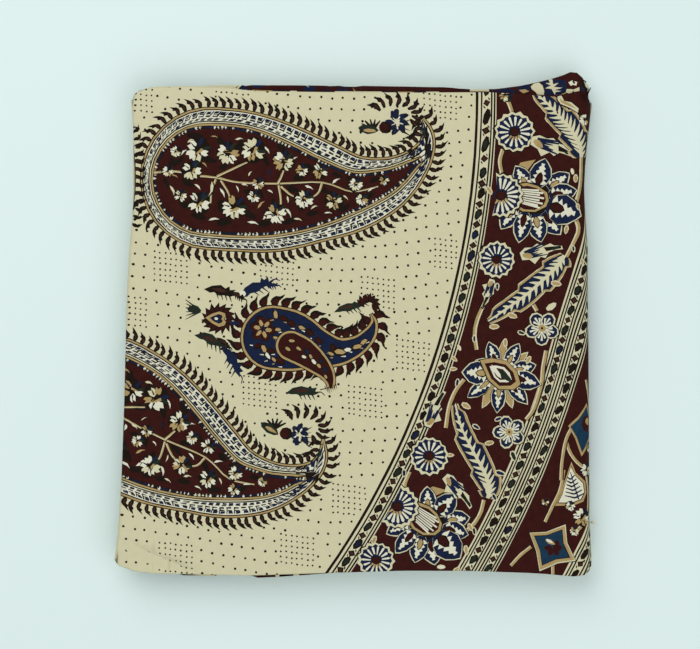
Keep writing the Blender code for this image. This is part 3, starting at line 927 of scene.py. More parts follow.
def link_ring(ring, body):
    """The links between the gold line and the body, each of uneven blue and black marks."""
    outer, inner = teardrop(ring, 1.9), teardrop(body, -3.0)
    run = distances(outer)
    mark = 3.0

    def patch(ink, start, end, low, high, shake):
        """A mark from start to end, in links, and from low to high, in shares of the ring's width."""
        corners = []
        for along, share in ((start, low), (end, low), (end, high), (start, high)):
            here = mark + LINK * along
            out, into = (np.array([np.interp(here, run, row) for row in rim.T]) for rim in (outer, inner))
            corners.append((1 - share) * out + share * into)
        paint(ink, corners, shake)

    while mark < run[-1] - 3.0:
        patch("blue", 0.0, 0.62, 0.06, 0.3, 0.24)
        patch("black", 0.1, 0.84, 0.3, 0.4, 0.24)
        if hand.random() < 0.7:
            patch("black", 0.72, 0.9, 0.06, 0.62, 0.2)
        patch(hand.choice(("blue", "black", "blue")), 0.22, 0.94, 0.5, 0.64, 0.24)
        patch("black", -0.05, 0.66, 0.74, 0.84, 0.2)
        patch("blue", -0.1, 0.56, 0.84, 0.98, 0.22)
        mark += LINK * hand.uniform(0.92, 1.08)


def large_drop(degrees, shift):
    ring, body = carried(DROP_RING, degrees, shift), carried(DROP_BODY, degrees, shift)
    for p, along, out in even(teardrop(ring, -0.4), 4.8):
        grow, lean = hand.uniform(0.88, 1.12), hand.uniform(-0.22, 0.02)
        for shape, ink in TEETH:
            paint(ink, [p + along * (x * 4.3 + lean * y * 6.9) + out * y * 6.9 * grow for x, y in shape], 0.2)
    bands(ring, ("black", -0.6), ("gold", 0.0), ("black", 0.95), ("white", 1.7))
    link_ring(ring, body)
    bands(body, ("black", -2.9), ("cream", -2.1), ("black", -1.5), ("gold", -0.9), ("black", 0.1),
          ("blue", 0.9), ("black", 1.7), ("red", 2.2))
    for p, along, out in even(teardrop(body, 1.4), 2.3):
        grow = hand.uniform(0.6, 1.15)
        ink = hand.choice(("white", "black", "white", "blue", "cream"))
        paint(ink, [p + (along * x + out * y) * grow for x, y in TICK], 0.25)
    for u, v, size, turn in carried(DROP_SHADES, degrees, shift):
        blot("black", size * 1.3, size * 0.6, (u, v), turn + degrees, 7, 0.5, 0.5)
    for points in DROP_STEMS:
        line = curve(carried(points, degrees, shift), 4)
        stroke("black", line, 2.7, 1.9, 0.1)
        stroke("gold", line, 1.5, 0.8, 0.12)
        stroke("cream", line + sideways(line)[1] * 0.3, 0.5, 0.3, 0.1)
    for u, v, size, turn, ink in carried(DROP_LEAVES, degrees, shift):
        paint("black", placed(SMALL_LEAF, (u + 0.3, v + 0.4), turn + degrees, size * 1.25), 0.2)
        paint(ink, placed(SMALL_LEAF, (u, v), turn + degrees, size), 0.2)
    for u, v, size, turn in carried(DROP_BLOSSOMS, degrees, shift):
        blossom((u, v), size * 0.88, turn + degrees)
    for ink, wide, *points in TAIL_MARKS:
        stroke(ink, carried(points, degrees, shift), wide, wide * 0.5, 0.2)


for degrees, shift in DROPS:
    large_drop(degrees, shift)

# The small blue drop and its inner red one, as circles, and the leafy teeth round it.
BLUE_DROP = (
    (398.4, 153.0, 20.0), (409.6, 154.9, 18.8), (423.4, 158.6, 13.1), (438.4, 161.8, 8.8),
    (450.9, 158.0, 6.2), (458.4, 151.1, 4.4), (461.5, 143.6, 2.0), (459.6, 138.0, 0.6),
)
RED_DROP = (
    (409.6, 158.0, 7.8), (417.1, 161.8, 7.5), (424.6, 167.4, 5.9), (430.9, 173.6, 3.8), (434.0, 179.2, 1.9),
    (434.6, 184.2, 0.6),
)
LEAFY = (
    (-0.34, -0.06), (-0.5, 0.3), (-0.38, 0.6), (-0.02, 0.8), (0.5, 0.86), (1.02, 1.1), (0.78, 0.74),
    (0.5, 0.56), (0.44, 0.28), (0.24, -0.04),
)
# Small petals and leaves within the two drops: u, v, size, turn, ink.
SMALL_BITS = (
    (400.2, 138.6, 2.3, 80, "gold"), (405.2, 141.1, 2.2, 20, "red"), (410.2, 144.2, 2.4, 30, "red"),
    (416.5, 146.8, 2.0, 20, "gold"), (421.5, 149.9, 2.4, 40, "red"), (401.5, 148.0, 1.7, 0, "gold"),
    (400.2, 153.0, 1.8, 20, "gold"), (392.8, 159.9, 2.4, 60, "gold"), (389.0, 158.0, 2.0, 150, "red"),
    (397.1, 161.1, 2.2, 10, "red"), (395.2, 164.2, 2.0, 60, "white"), (402.8, 167.4, 2.6, 40, "red"),
    (399.0, 166.8, 1.6, 50, "gold"), (435.9, 159.9, 2.3, 80, "red"), (440.2, 161.8, 3.0, 5, "gold"),
    (445.2, 160.5, 2.0, 0, "white"), (450.9, 158.6, 2.6, -15, "gold"), (455.2, 155.5, 2.2, -30, "gold"),
    (434.6, 163.0, 1.8, 30, "gold"), (427.1, 154.9, 2.2, 40, "red"),
)
RED_BITS = (
    (410.2, 154.9, 2.0, 10, "gold"), (407.8, 159.9, 1.9, 40, "gold"), (414.6, 159.9, 1.9, 30, "gold"),
    (419.6, 161.8, 2.0, 60, "blue"), (417.8, 164.9, 1.6, 20, "white"), (422.1, 164.9, 1.7, 60, "gold"),
    (424.0, 168.0, 2.2, 50, "white"), (427.1, 170.5, 1.8, 50, "gold"), (430.9, 173.0, 1.8, 60, "blue"),
    (431.5, 177.4, 1.6, 60, "gold"), (428.4, 167.4, 1.5, 40, "blue"),
)
for p, along, out in even(teardrop(BLUE_DROP, -0.5), 6.3):
    for ink, grow in (("black", 1.0), ("red", 0.66)):
        paint(ink, [p + along * x * 5.8 * grow + out * y * 7.0 * grow for x, y in LEAFY], 0.3)
bands(BLUE_DROP, ("black", -0.7), ("gold", 0.0), ("black", 1.3), ("blue", 1.9))
SMALL_FLOWER = (392.1, 147.4)
sixths = [60 * i + 12 for i in range(6)]
for a in sixths:
    blot("black", 3.7, 3.3, at(SMALL_FLOWER, a, 4.9), a, shake=0.3)
    blot("red", 3.1, 2.8, at(SMALL_FLOWER, a, 4.8), a, shake=0.3)
for a in sixths:
    blot("gold", 2.3, 1.35, at(SMALL_FLOWER, a, 3.7), a, 6, 0.3)
blot("red", 0.9, 0.9, SMALL_FLOWER, 0, 6, shake=0.1)
for u, v, size, turn, ink in SMALL_BITS:
    blot("black", size * 1.45, size * 0.95, (u, v), turn, 7, 0.3, 0.3)
    blot(ink, size * 1.15, size * 0.6, (u, v), turn, 6, 0.3, 0.25)
    spot = at((u, v), turn, size * 1.3, size * 0.8)
    light = hand.choice(("white", "cream", "gold"))
    stroke(light, [spot, (spot[0] - size, spot[1] + hand.uniform(-1, 1))], 0.8, 0.3)
bands(RED_DROP, ("black", -2.0), ("gold", -1.5), ("black", -0.2), ("red", 0.4))
for u, v, size, turn, ink in RED_BITS:
    blot("black", size * 1.3, size * 0.85, (u, v), turn, 7, 0.3)
    blot(ink, size, size * 0.55, (u, v), turn, 6, 0.3)

# Ragged leaves with curled ends, sprigs and a bud that stand round the small drop: u, v, turn, scale, ink.
ROUND_ABOUT = (
    (365.9, 124.2, 14, 0.95, "black"), (388.4, 121.8, -22, 1.05, "blue"), (360.2, 154.9, 26, 1.0, "green"),
    (372.8, 167.4, 62, 1.05, "blue"), (417.1, 186.8, 4, 0.95, "green"), (445.9, 134.2, -10, 0.85, "green"),
    (396.5, 119.9, 8, 0.5, "blue"), (376.5, 126.8, 30, 0.5, "black"), (367.8, 156.1, 40, 0.5, "black"),
)
RAGGED = ((-10, 1.2), (-6, -2.0), (-1, -3.4), (2.5, -2.4), (4, -3.8), (5.4, -2.2), (8.0, -3.0), (7.2, -0.8),
          (9.6, 0.2), (6.0, 1.2), (2.0, 1.4), (-0.5, 2.4), (-4, 1.4), (-6.4, 2.2))
RAGGED_HEART = ((-6, -0.4), (-1, -1.8), (3.5, -1.2), (1.0, 0.2), (-3, 0.4))
for u, v, turn, scale, ink in ROUND_ABOUT:
    scale *= 1.12
    paint(ink, placed(RAGGED, (u, v), turn, scale), 0.45)
    if ink != "blue":
        paint("brown", placed(RAGGED_HEART, (u, v), turn, scale), 0.25)
    for x in (-2.5 + 2.6 * i for i in range(4)):
        stroke(ink, placed([(x, 0.8), (x + 2.2, 4.4)], (u, v), turn, scale), 1.2, 0.3)
    stroke(ink, curve(placed([(7.0, 0.0), (10.5, -0.6), (13.0, 1.2)], (u, v), turn, scale), 3), 1.2, 0.4)
blot("white", 2.0, 1.9, (379.6, 125.5), shake=0.1)
stroke("black", curve(((427.8, 185.5), (432.8, 184.2), (434.6, 183.0)), 3), 0.5)
for i in range(7):
    u, v = 430.9 + 1.1 * i, 184.2 - 0.7 * abs(i - 2) + 0.4
    stroke("black", [(u, v), (u + 0.9, v + 3.2)], 0.6, 0.25)
for i in range(9):
    a = 200 + 24 * i
    for ink, size in (("black", 3.4), ("red", 2.2)):
        blot(ink, size, size * 0.5, around((457.8, 133.0), a, 5.2, 4.6), a + 25, 6, 0.5, 0.5)

HEART = (
    (-6.6, -0.6), (-3.0, -2.6), (1.2, -4.0), (4.2, -3.0), (4.6, -0.9), (3.6, 0.2), (4.8, 1.8), (4.0, 3.6),
    (1.0, 4.6), (-3.0, 2.4),
)
for a in (24 * i for i in range(15)):
    place = around((364.6, 141.1), a, 7.6, 6.6)
    paint("black", placed([(-3.0, -1.9), (0, -2.6), (3.6, 1.3), (0.6, 1.3), (-3.0, 1.8)], place, a), 0.3)
    paint("red", placed([(-2.8, -1.2), (-0.2, -1.6), (1.8, 0.4), (-0.4, 0.9), (-2.8, 1.0)], place, a), 0.2)
grown(HEART, (363.7, 141.1), 0, 1.0, (("black", 1.3), ("gold", 1.14), ("black", 0.7), ("blue", 0.58)), 0.12)
blot("white", 1.2, 0.9, (363.1, 141.1), 20, 6, shake=0.15)
blot("blue", 3.2, 1.3, (374.6, 143.9), 6)
for i in range(6):
    stroke("green", [(353.4, 136.4), (344.0, 129.2 + 2.5 * i)], 1.7, 0.5, 0.2)
blot("green", 4.2, 2.6, (349.0, 135.2), 6, 8, shake=0.3)

# The little bunch at the hollow of a large drop's tail: its bud, green tuft, blue flower and ring of teeth.
BUNCH = ((467.8, 21.8), (457.8, 23.0), (475.9, 18.0), (474.6, 11.8))


def tail_sprig(degrees, shift):
    bud, tuft_foot, flower, ring = carried(BUNCH, degrees, shift)
    foot = (tuft_foot[0] + 3, tuft_foot[1])
    for a in (-190 + 22 * i + degrees for i in range(7)):
        stroke("black", [foot, around(foot, a, 8.6, 6.4)], 2.4, 0.8, 0.2)
    blot("green", 6.6, 3.0, tuft_foot, 8 + degrees, 8, 0.2, 0.3)
    blot("gold", 4.2, 1.2, (tuft_foot[0] + 1.0, tuft_foot[1] + 0.8), 4 + degrees, 7, 0.3)
    middle = (flower[0], flower[1] + 0.6)
    for i in range(8):
        a, reach = 45 * i + hand.uniform(-12, 12), hand.uniform(0.8, 1.15)
        for ink, size in (("black", 3.3), ("blue", 2.7)):
            petal = around(middle, a, 4.2 * reach, 4.8 * reach)
            blot(ink, size * reach, size * 0.62, petal, a + 20, 7, 0.3, 0.5)
    for a in (70 * i + 15 for i in range(5)):
        blot("white", 1.5, 0.45, around(middle, a, 2.6, 3.0), a, 5, shake=0.3)
    u, v = flower
    for i in range(5):
        stroke("black", [(u + 4.4, v - 2.0 + 2.2 * i), (u + 8.2, v - 4.4 + 3.4 * i)], 0.9, 0.3, 0.2)
    blot("black", 4.2, 4.0, (bud[0] + 0.8, bud[1]), 0, 9, shake=0.4)
    blot("red", 2.9, 2.8, (bud[0] - 0.4, bud[1]), 0, 8, shake=0.3)
    for a in (-150 + 22 * i + degrees for i in range(9)):
        u, v = around(ring, a, 11.0, 6.4)
        for shape, ink in TEETH:
            paint(ink, placed([(y * 7.8, x * 4.4) for x, y in shape], (u, v + 2.4), a + 10), 0.3)


for degrees, shift in DROPS:
    tail_sprig(degrees, shift)

# The edge of another large motif, which the left fold cuts: short teeth and gold arcs bulging to the right.
for i in range(13):
    share = (i - 6) / 6.5
    place = (314.6 - 3.6 * share * share, 53.0 + 31.0 * share)
    paint("black", placed([(1.3 * y, x) for x, y in TOOTH], place, 35 * share, 3.6), 0.3)
arc = [(312.5 - 3.8 * s * s, 53.0 + 31.0 * s) for s in (-1, -0.6, -0.3, 0, 0.3, 0.6, 1)]
stroke("black", curve(arc, 3), 1.9)
stroke("gold", curve(arc, 3), 1.0)

# The outer red band: a blue ogee cut by the right edge, a veined leaf, a diamond and thin gold vines.
BAND_VINES = (
    ((581.5, 216.8), (584.0, 224.2), (588.4, 230.5), (594.0, 235.5)),
    ((580.2, 235.5), (577.8, 248.0), (573.4, 257.4), (568.4, 268.0)),
    ((593.4, 235.5), (596.5, 248.0), (595.9, 260.5), (590.2, 271.8), (585.2, 274.9)),
    ((559.6, 283.6), (552.8, 289.2), (547.1, 295.5)), ((594.0, 179.2), (596.5, 188.6), (599.0, 198.0)),
    ((573.4, 293.6), (573.4, 301.1)), ((585.2, 209.2), (581.5, 216.8), (579.0, 230.5), (578.4, 241.8)),
)
for points in BAND_VINES:
    line = curve(points, 4)
    stroke("black", line, 2.8)
    stroke("cream", line + sideways(line)[1] * 0.3, 1.9)
    stroke("gold", line, 1.4)
OGEE = (
    (-9, 0), (-4.5, -5.5), (0.0, -14.0), (4.5, -6.5), (12, -4), (12, 4), (4.5, 7.5), (0.0, 16.0),
    (-4.5, 6.5),
)
grown(OGEE, (592.8, 209.2), 6, 1.0, (("gold", 1.12), ("teal", 0.96)), 0.2)
blot("red", 4.5, 5.5, (595.2, 206.8), 0, 8, shake=0.3)
blot("gold", 2.0, 2.4, (595.2, 205.5), shake=0.3)
VEINED = (
    (0.0, -15.5), (2.6, -9.5), (7.8, -4.0), (8.8, 2.2), (6.6, 7.2), (1.0, 9.4), (-6.0, 9.4), (-9.4, 9.6),
    (-6.4, 4.0), (-4.4, -3.0),
)
VEINED_AT = (584.6, 247.4)
grown(VEINED, VEINED_AT, 0, 1.0, (("gold", 1.1), ("black", 0.94), ("white", 0.88)), 0.15)
stroke("blue", placed([(4.5, 6.5), (-0.5, -10.5)], VEINED_AT, 0), 0.8, 0.4)
for i in range(6):
    u, v = VEINED_AT[0] + 0.6 * (4 - i), VEINED_AT[1] + 5.5 - 2.3 * i
    stroke("blue", [(u, v), (u + 5.2 - 0.5 * i, v - 2.6)], 1.2, 0.6)
    stroke("blue", [(u, v), (u - 6.4 + 0.9 * i, v - 1.4)], 1.2, 0.6)
DIAMOND = (
    (-12.8, -7.9), (-2.8, -8.6), (8.6, -12.9), (9.8, -2.0), (14.8, 8.7), (4.0, 10.2), (-6.6, 15.0),
    (-8.6, 3.2),
)
rims = (("black", 1.1), ("cream", 1.05), ("gold", 1.0), ("black", 0.82), ("teal", 0.78))
grown(DIAMOND, (571.8, 283.0), 0, 1.0, rims, 0.2)
for a in (-60 + 60 * i for i in range(5)):
    blot("red", 2.6, 1.9, around((573.4, 284.2), a, 3.2, 2.6), a, 6, shake=0.3)
blot("gold", 3.4, 1.5, (571.5, 280.5), 28, 7, 0.4)
blot("white", 2.6, 0.9, (570.9, 279.9), 30, 6, 0.4, 0.15)
# Its small flowers: u, v, size, turn.
BAND_FLOWERS = (
    (594.6, 235.5, 7, 0), (591.5, 264.9, 9, 20), (584.0, 258.0, 5, 0), (568.4, 255.5, 4, 0),
    (586.5, 273.6, 5, 0), (598.4, 221.8, 6, 0),
)
for u, v, size, turn in BAND_FLOWERS:
    blossom((u, v), size * 0.625, turn)

# Small gold and cream buds scattered on the flower border: u, v, size, turn, ink.
BUDS = (
    (533.4, 61.1, 2.6, 60, "gold"), (587.1, 53.6, 2.2, 90, "gold"), (588.4, 71.1, 1.7, 80, "gold"),
    (581.5, 85.5, 2.3, 100, "gold"), (592.1, 18.0, 2.3, 0, "blue"), (585.2, 49.2, 1.6, 80, "white"),
    (575.2, 119.2, 3.0, 10, "gold"), (547.8, 139.2, 2.8, 20, "gold"), (536.5, 146.1, 2.8, 0, "gold"),
    (524.0, 153.6, 2.0, 90, "blue"), (514.6, 159.2, 1.6, 60, "cream"), (511.5, 166.1, 2.0, 40, "gold"),
    (510.9, 172.4, 2.0, 0, "gold"), (513.4, 181.1, 2.3, 100, "blue"), (543.4, 156.1, 2.3, 90, "gold"),
    (557.8, 166.8, 2.3, 120, "gold"), (519.0, 195.5, 2.8, 30, "gold"), (525.2, 208.6, 2.3, 30, "blue"),
    (539.0, 203.6, 2.2, -20, "blue"), (533.4, 218.6, 2.6, -10, "gold"), (548.4, 226.8, 3.2, 70, "green"),
    (540.2, 237.4, 3.0, 20, "blue"), (536.5, 252.4, 2.2, 60, "blue"), (521.5, 271.1, 2.3, 60, "gold"),
    (524.0, 273.6, 2.2, 80, "green"), (480.2, 237.4, 2.2, 90, "blue"), (461.5, 279.2, 2.4, 110, "gold"),
    (519.0, 285.5, 2.6, 80, "gold"), (512.8, 298.0, 2.4, -40, "gold"), (503.4, 296.1, 2.2, 0, "white"),
    (538.4, 121.1, 2.0, 90, "blue"), (572.1, 133.6, 3.2, -35, "cream"), (553.4, 149.9, 2.2, 20, "green"),
    (509.0, 226.1, 2.0, 0, "gold"), (585.9, 97.4, 1.8, 80, "blue"), (590.9, 105.5, 1.6, 80, "gold"),
)
for u, v, size, turn, ink in BUDS:
    blot("cream", size + 0.6, (size + 0.6) * 0.55, (u, v), turn, 7, 0.3, 0.12)
    blot(ink, size, size * 0.42, (u, v), turn, 6, 0.3, 0.12)

# The field's dots: a slightly tilted lattice, kept off the motifs, with square patches where it is denser.
PATCHES = (
    (334.6, 109.2), (400.9, 110.5), (390.2, 186.8), (445.9, 254.2), (455.9, 193.0), (485.9, 164.2),
    (464.0, 124.9), (413.4, 285.5), (337.8, 290.5), (502.8, 6.8), (509.6, 101.1), (309.0, 136.1),
    (372.8, -1.4), (312.8, 2.4), (527.8, 91.8), (447.8, 315.5), (290.2, 191.8),
)
# Where no dot is printed: the outlines of the drops, and circles of u, v, radius round the smaller motifs.
KEEP_OFF = [teardrop(carried(DROP_RING, *drop), -6.8, 3, 10) for drop in DROPS]
KEEP_OFF += [teardrop(BLUE_DROP, -5.2, 3, 10), teardrop(RED_DROP, -3.0, 3, 8)]
ROUND_OFF = (
    (364.6, 141.1, 10.0), (467.8, 21.1, 11.9), (417.8, 213.6, 11.9), (403.4, 214.2, 8.8),
    (389.0, 121.8, 6.9), (365.9, 124.2, 7.5), (360.2, 154.9, 7.5), (372.8, 167.4, 6.9), (417.8, 186.8, 7.5),
    (446.5, 134.2, 6.2), (457.8, 133.0, 6.2), (434.0, 184.2, 4.4), (347.8, 135.5, 6.2), (312.8, 53.0, 5.0),
)
FIELD_RADIUS = 523.0


def within(point, outline):
    """Whether a point is inside a closed outline."""
    u, v = point
    inside = False
    for (u0, v0), (u1, v1) in zip(outline, np.roll(outline, -1, axis=0)):
        if (v0 > v) != (v1 > v) and u < u0 + (v - v0) / (v1 - v0) * (u1 - u0):
            inside = not inside
    return inside


def dot(u, v, size, corners=5):
    if math.hypot(u, v) > FIELD_RADIUS or any(math.hypot(u - a, v - b) < r for a, b, r in ROUND_OFF):
        return
    if not any(within((u, v), outline) for outline in KEEP_OFF):
        blot("black", size, size, (u, v), hand.uniform(0, 90), corners, shake=0.06)


TILT = math.radians(9.0)
for i in range(-16, 48):
    for j in range(-16, 56):
        u = 292.0 + 6.85 * i * math.cos(TILT) - 1.2 * math.sin(j * 0.9)
        v = -2.0 + 7.15 * j + 6.85 * i * math.sin(TILT) * (0.55 + 0.45 * math.sin(i / 9.0))
        u, v = u + hand.uniform(-0.55, 0.55), v + hand.uniform(-0.55, 0.55)
        if 286 < u < 524 and -14 < v < 320:
            if not any(abs(u - a) < 12.5 and abs(v - b) < 12.0 for a, b in PATCHES):
                dot(u, v, hand.uniform(0.8, 0.98))
for a, b in PATCHES:
    for i in range(7):
        for j in range(6):
            u = a + 3.35 * (i - 3) + hand.uniform(-0.3, 0.3)
            v = b + 3.5 * (j - 2.5) + 0.4 * (i - 3) + hand.uniform(-0.3, 0.3)
            dot(u, v, hand.uniform(0.66, 0.8), 4)

# The far parts of the cloth, of which only the turned edges show: simple leaves in the corners and a border
# of red strips and dark lines along the hems.
for su, sv in ((1, -1), (-1, -1), (1, 1), (-1, 1)):
    for along_edge in (40 + 88 * k for k in range(7)):
        for depth in (604.0, 300.0):
            radius = math.hypot(along_edge, depth)
            if radius > 690 or 540 < radius < 590:
                place = (su * along_edge, sv * (depth + hand.uniform(-6, 6)))
                if depth == 300.0 and su > 0 and sv > 0 and 270 < along_edge < 660:
                    continue
                turn = hand.uniform(0, 360)
                blot("blue", 26, 12, place, turn, 12, 0.3, 0.4)
                blot("red", 14, 12, (place[0] + su * 34, place[1]), turn, 10, shake=0.4)
                blot("gold", 22, 4, place, turn, 9, 0.4, 0.3)
for su in (1, -1):
    paint("red", [(su * 796, -796), (su * 842, -796), (su * 842, 796), (su * 796, 796)], 0.0)
    paint("red", [(-796, su * 796), (796, su * 796), (796, su * 842), (-796, su * 842)], 0.0)
    for line in (786, 790, 848, 852):
        stroke("black", [(su * line, -line), (su * line, line)], 1.2, shake=0.0)
        stroke("black", [(-line, su * line), (line, su * line)], 1.2, shake=0.0)


def block(ink, low, high, near, far, shake=0.1):
    """A plain strip of the far print, from low to high across the cloth."""
    paint(ink, [(low, near), (high, near), (high, far), (low, far)], shake)


# The dog-ear at the back right, and the sliver beside it along the back edge, show a leaf, petals and a red
# ground of a far part. Their outlines are given as they lie: x, y of the stack.
EAR_PRINT = (
    ("blue", ((86.3, 150.0), (94.4, 151.3), (98.8, 150.7), (101.9, 148.2), (95.7, 147.5), (86.9, 147.5))),
    ("blue", ((101.9, 152.5), (109.4, 153.5), (110.8, 150.7), (106.9, 148.5), (102.6, 149.1))),
    ("gold", ((103.2, 150.3), (106.9, 150.7), (109.4, 149.4), (106.3, 148.2))),
    ("blue", ((117.2, 156.3), (124.4, 157.2), (131.9, 156.9), (133.1, 152.5), (132.3, 149.1),
     (125.7, 146.3), (119.4, 145.3), (118.8, 150.0))),
    ("black", ((109.9, 152.5), (112.6, 155.0), (116.0, 156.0), (118.5, 153.5), (119.7, 149.4),
     (119.1, 146.0), (115.1, 145.7), (112.9, 148.5), (110.4, 150.2))),
    ("cream", ((110.7, 152.4), (112.7, 154.3), (115.7, 155.2), (117.9, 153.0), (119.1, 149.4),
     (118.5, 146.6), (115.6, 146.2), (113.5, 148.8), (111.1, 150.5))),
    ("cream", ((121.5, 157.2), (123.9, 157.0), (124.4, 153.9), (127.9, 154.7), (125.2, 152.2),
     (130.4, 152.0), (125.8, 150.5), (129.8, 149.5), (126.2, 148.7), (125.4, 146.9), (123.7, 150.5),
     (119.4, 151.2), (123.2, 152.7), (119.6, 154.5), (122.4, 154.4))),
    ("gold", ((126.0, 146.9), (129.4, 147.5), (132.6, 148.8), (131.9, 146.9), (127.6, 145.3))),
    ("white", ((134.4, 154.9), (136.9, 155.8), (139.4, 155.2), (139.3, 153.0), (137.3, 153.5),
     (135.7, 152.2))),
    ("black", ((136.6, 155.0), (138.5, 154.5), (137.6, 153.8))),
    ("cream", ((133.2, 151.0), (136.9, 150.5), (141.3, 151.4), (141.1, 149.3), (137.6, 149.3),
     (135.7, 147.8), (132.6, 148.7))),
    ("black", ((141.8, 156.3), (146.3, 155.7), (149.8, 152.5), (150.2, 146.9), (150.1, 140.7),
     (146.6, 143.8), (144.8, 146.9), (141.9, 150.7))),
    ("blue", ((142.3, 152.8), (144.8, 151.0), (144.4, 148.2), (141.9, 150.0))),
    ("cream", ((143.7, 155.5), (146.1, 154.4), (146.9, 151.0), (144.9, 152.4))),
    ("red", ((146.9, 152.5), (148.9, 150.7), (149.1, 146.3), (147.6, 147.5))),
    ("cream", ((145.8, 144.9), (147.7, 143.2), (148.3, 139.9), (146.7, 141.5))),
)
spots_grid = np.meshgrid(np.arange(18.0, 250.0, 0.5), np.arange(-664.0, -602.0, 0.5))
spots_u, spots_v = (a.ravel() for a in spots_grid)
spots = lay(spots_u, spots_v)


def lying_at(x, y):
    """The spot of the flat cloth whose printed side is uppermost at x, y of the second pass."""
    k = int(np.argmin(np.hypot(spots[:, 0] - x, spots[:, 1] - y) - 0.6 * spots[:, 2]))
    return spots_u[k], spots_v[k]


EAR_GROUND = (("red", 98.0, 243.0), ("cream", 86.0, 98.0), ("black", 84.0, 86.0), ("red", 16.0, 84.0))
for ink, low, high in EAR_GROUND:
    block(ink, low, high, -676, -594)
for u in (105.0 + 10.4 * i for i in range(14)):
    blot("blue", 4.6, 3.0, (u, -618.0 + hand.uniform(-3, 3)), hand.uniform(-40, 40), 8, 0.3, 0.4)
    ink = hand.choice(("gold", "cream"))
    blot(ink, 2.8, 1.0, (u + 2.0, -614.0 + hand.uniform(-3, 3)), hand.uniform(-60, 60), 6, 0.4, 0.3)
for ink, outline in EAR_PRINT:
    paint(ink, [lying_at(*point) for point in outline])

# Along the front edge the second pass shows dark parts of its print, a little proud of the top one.
SLIVERS = (("black", 256, 284), ("black", 226, 237), ("red", 199, 224), ("black", 188, 196), ("red", 20, 184))
for ink, low, high in SLIVERS:
    for side in (1, -1):
        outline = [(low, side * 290), (high, side * 290), (high, side * 322), (low, side * 322)]
        paint(ink, outline[::side], 0.6)

# Beside the ear, on the top pass: a curled gold bract, and the buds near the stripe.
CURLED = (
    ("black", ((575.4, 0.6), (578.7, 1.0), (580.9, 4.8), (584.9, 5.4), (590.1, 9.6), (589.3, 13.5),
     (584.0, 10.5), (577.4, 7.9), (575.1, 4.6))),
    ("cream", ((576.2, 1.2), (578.4, 1.9), (580.2, 5.2), (584.6, 6.1), (589.3, 9.9), (588.7, 12.7),
     (584.0, 9.6), (577.8, 7.1), (575.9, 4.2))),
    ("gold", ((577.0, 2.7), (578.5, 4.6), (584.0, 7.0), (587.9, 10.2), (583.4, 8.5), (578.1, 6.2))),
)
for ink, outline in CURLED:
    paint(ink, outline)
blossom((592.8, 16.8), 3.6, 40)
blossom((543.6, 1.6), 4.4, 90)
block("red", 505, 640, -630, -590)


# The sheet itself: the flat cloth is divided along its folds and its print, then laid in its folds.
def crease_points():
    """Extra points beside each crease, so that it stays soft."""
    found = []
    for x0, y0, x1, y1, half, _ in CREASES:
        length = math.hypot(x1 - x0, y1 - y0)
        ax, ay = (x1 - x0) / length, (y1 - y0) / length
        for along in (4.0 * i - 4 for i in range(int(length / 4) + 3)):
            for off in (-1.9, -1.2, -0.6, 0.0, 0.6, 1.2, 1.9):
                x, y = x0 + ax * along - ay * off * half, y0 + ay * along + ax * off * half
                if -136 < x < 138 and -149 < y < 146:
                    found.append((x - MEDALLION[0], MEDALLION[1] - y))
    return found


def topmost(under, middle):
    """Ink of the last shape printed over a triangle. An outline that crosses itself counts in its own box."""
    for k in sorted(under, reverse=True):
        ink, outline = prints[k]
        us, vs = zip(*outline)
        if min(us) <= middle[0] <= max(us) and min(vs) <= middle[1] <= max(vs):
            return list(INKS).index(ink)
    return 0


def sheet_mesh():
    """The flat points of the divided cloth, its triangles and their inks."""
    lines = net()
    rows, columns = lines.shape[:2]
    points = [tuple(p) for p in lines.reshape(-1, 2)]
    edges = [(j * columns + i, j * columns + i + 1) for j in range(rows) for i in range(columns - 1)]
    edges += [(j * columns + i, (j + 1) * columns + i) for j in range(rows - 1) for i in range(columns)]
    points += crease_points()
    shapes = []
    for _, outline in prints:
        shape = np.array(outline)
        ahead = np.roll(shape, -1, axis=0)
        area = np.sum(shape[:, 0] * ahead[:, 1] - ahead[:, 0] * shape[:, 1])
        shapes.append(list(range(len(points), len(points) + len(outline))))
        points += outline if area > 0 else outline[::-1]
    points = [Vector(p) for p in points]
    flat, _, triangles, _, _, covered = delaunay_2d_cdt(points, edges, shapes, 0, 1e-3, True)
    flat = np.array([tuple(p) for p in flat])
    inks = [topmost(under, flat[triangle].mean(axis=0)) for triangle, under in zip(triangles, covered)]
    return flat, triangles, inks


def face_directions(flat):
    """Direction of the printed face at each point, from the fold itself."""
    u, v, e = flat[:, 0], flat[:, 1], 0.12
    out = np.cross(lay(u, v + e) - lay(u, v - e), lay(u + e, v) - lay(u - e, v))
    return out / np.maximum(np.linalg.norm(out, axis=1), 1e-12)[:, None]


# How the baked map is shared out: position on the flat cloth, place in the map. What shows gets the most.
BAKE_ACROSS = ((HEMS_ACROSS[0], 0.005), (294, 0.05), (640, 0.96), (HEMS_ACROSS[1], 0.995))
BAKE_ALONG = ((-HEM_ALONG, 0.005), (-6, 0.045), (312, 0.965), (HEM_ALONG, 0.995))


def put_in_scene(name, data):
    made = bpy.data.objects.new(name, data)
    bpy.context.scene.collection.objects.link(made)
    return made


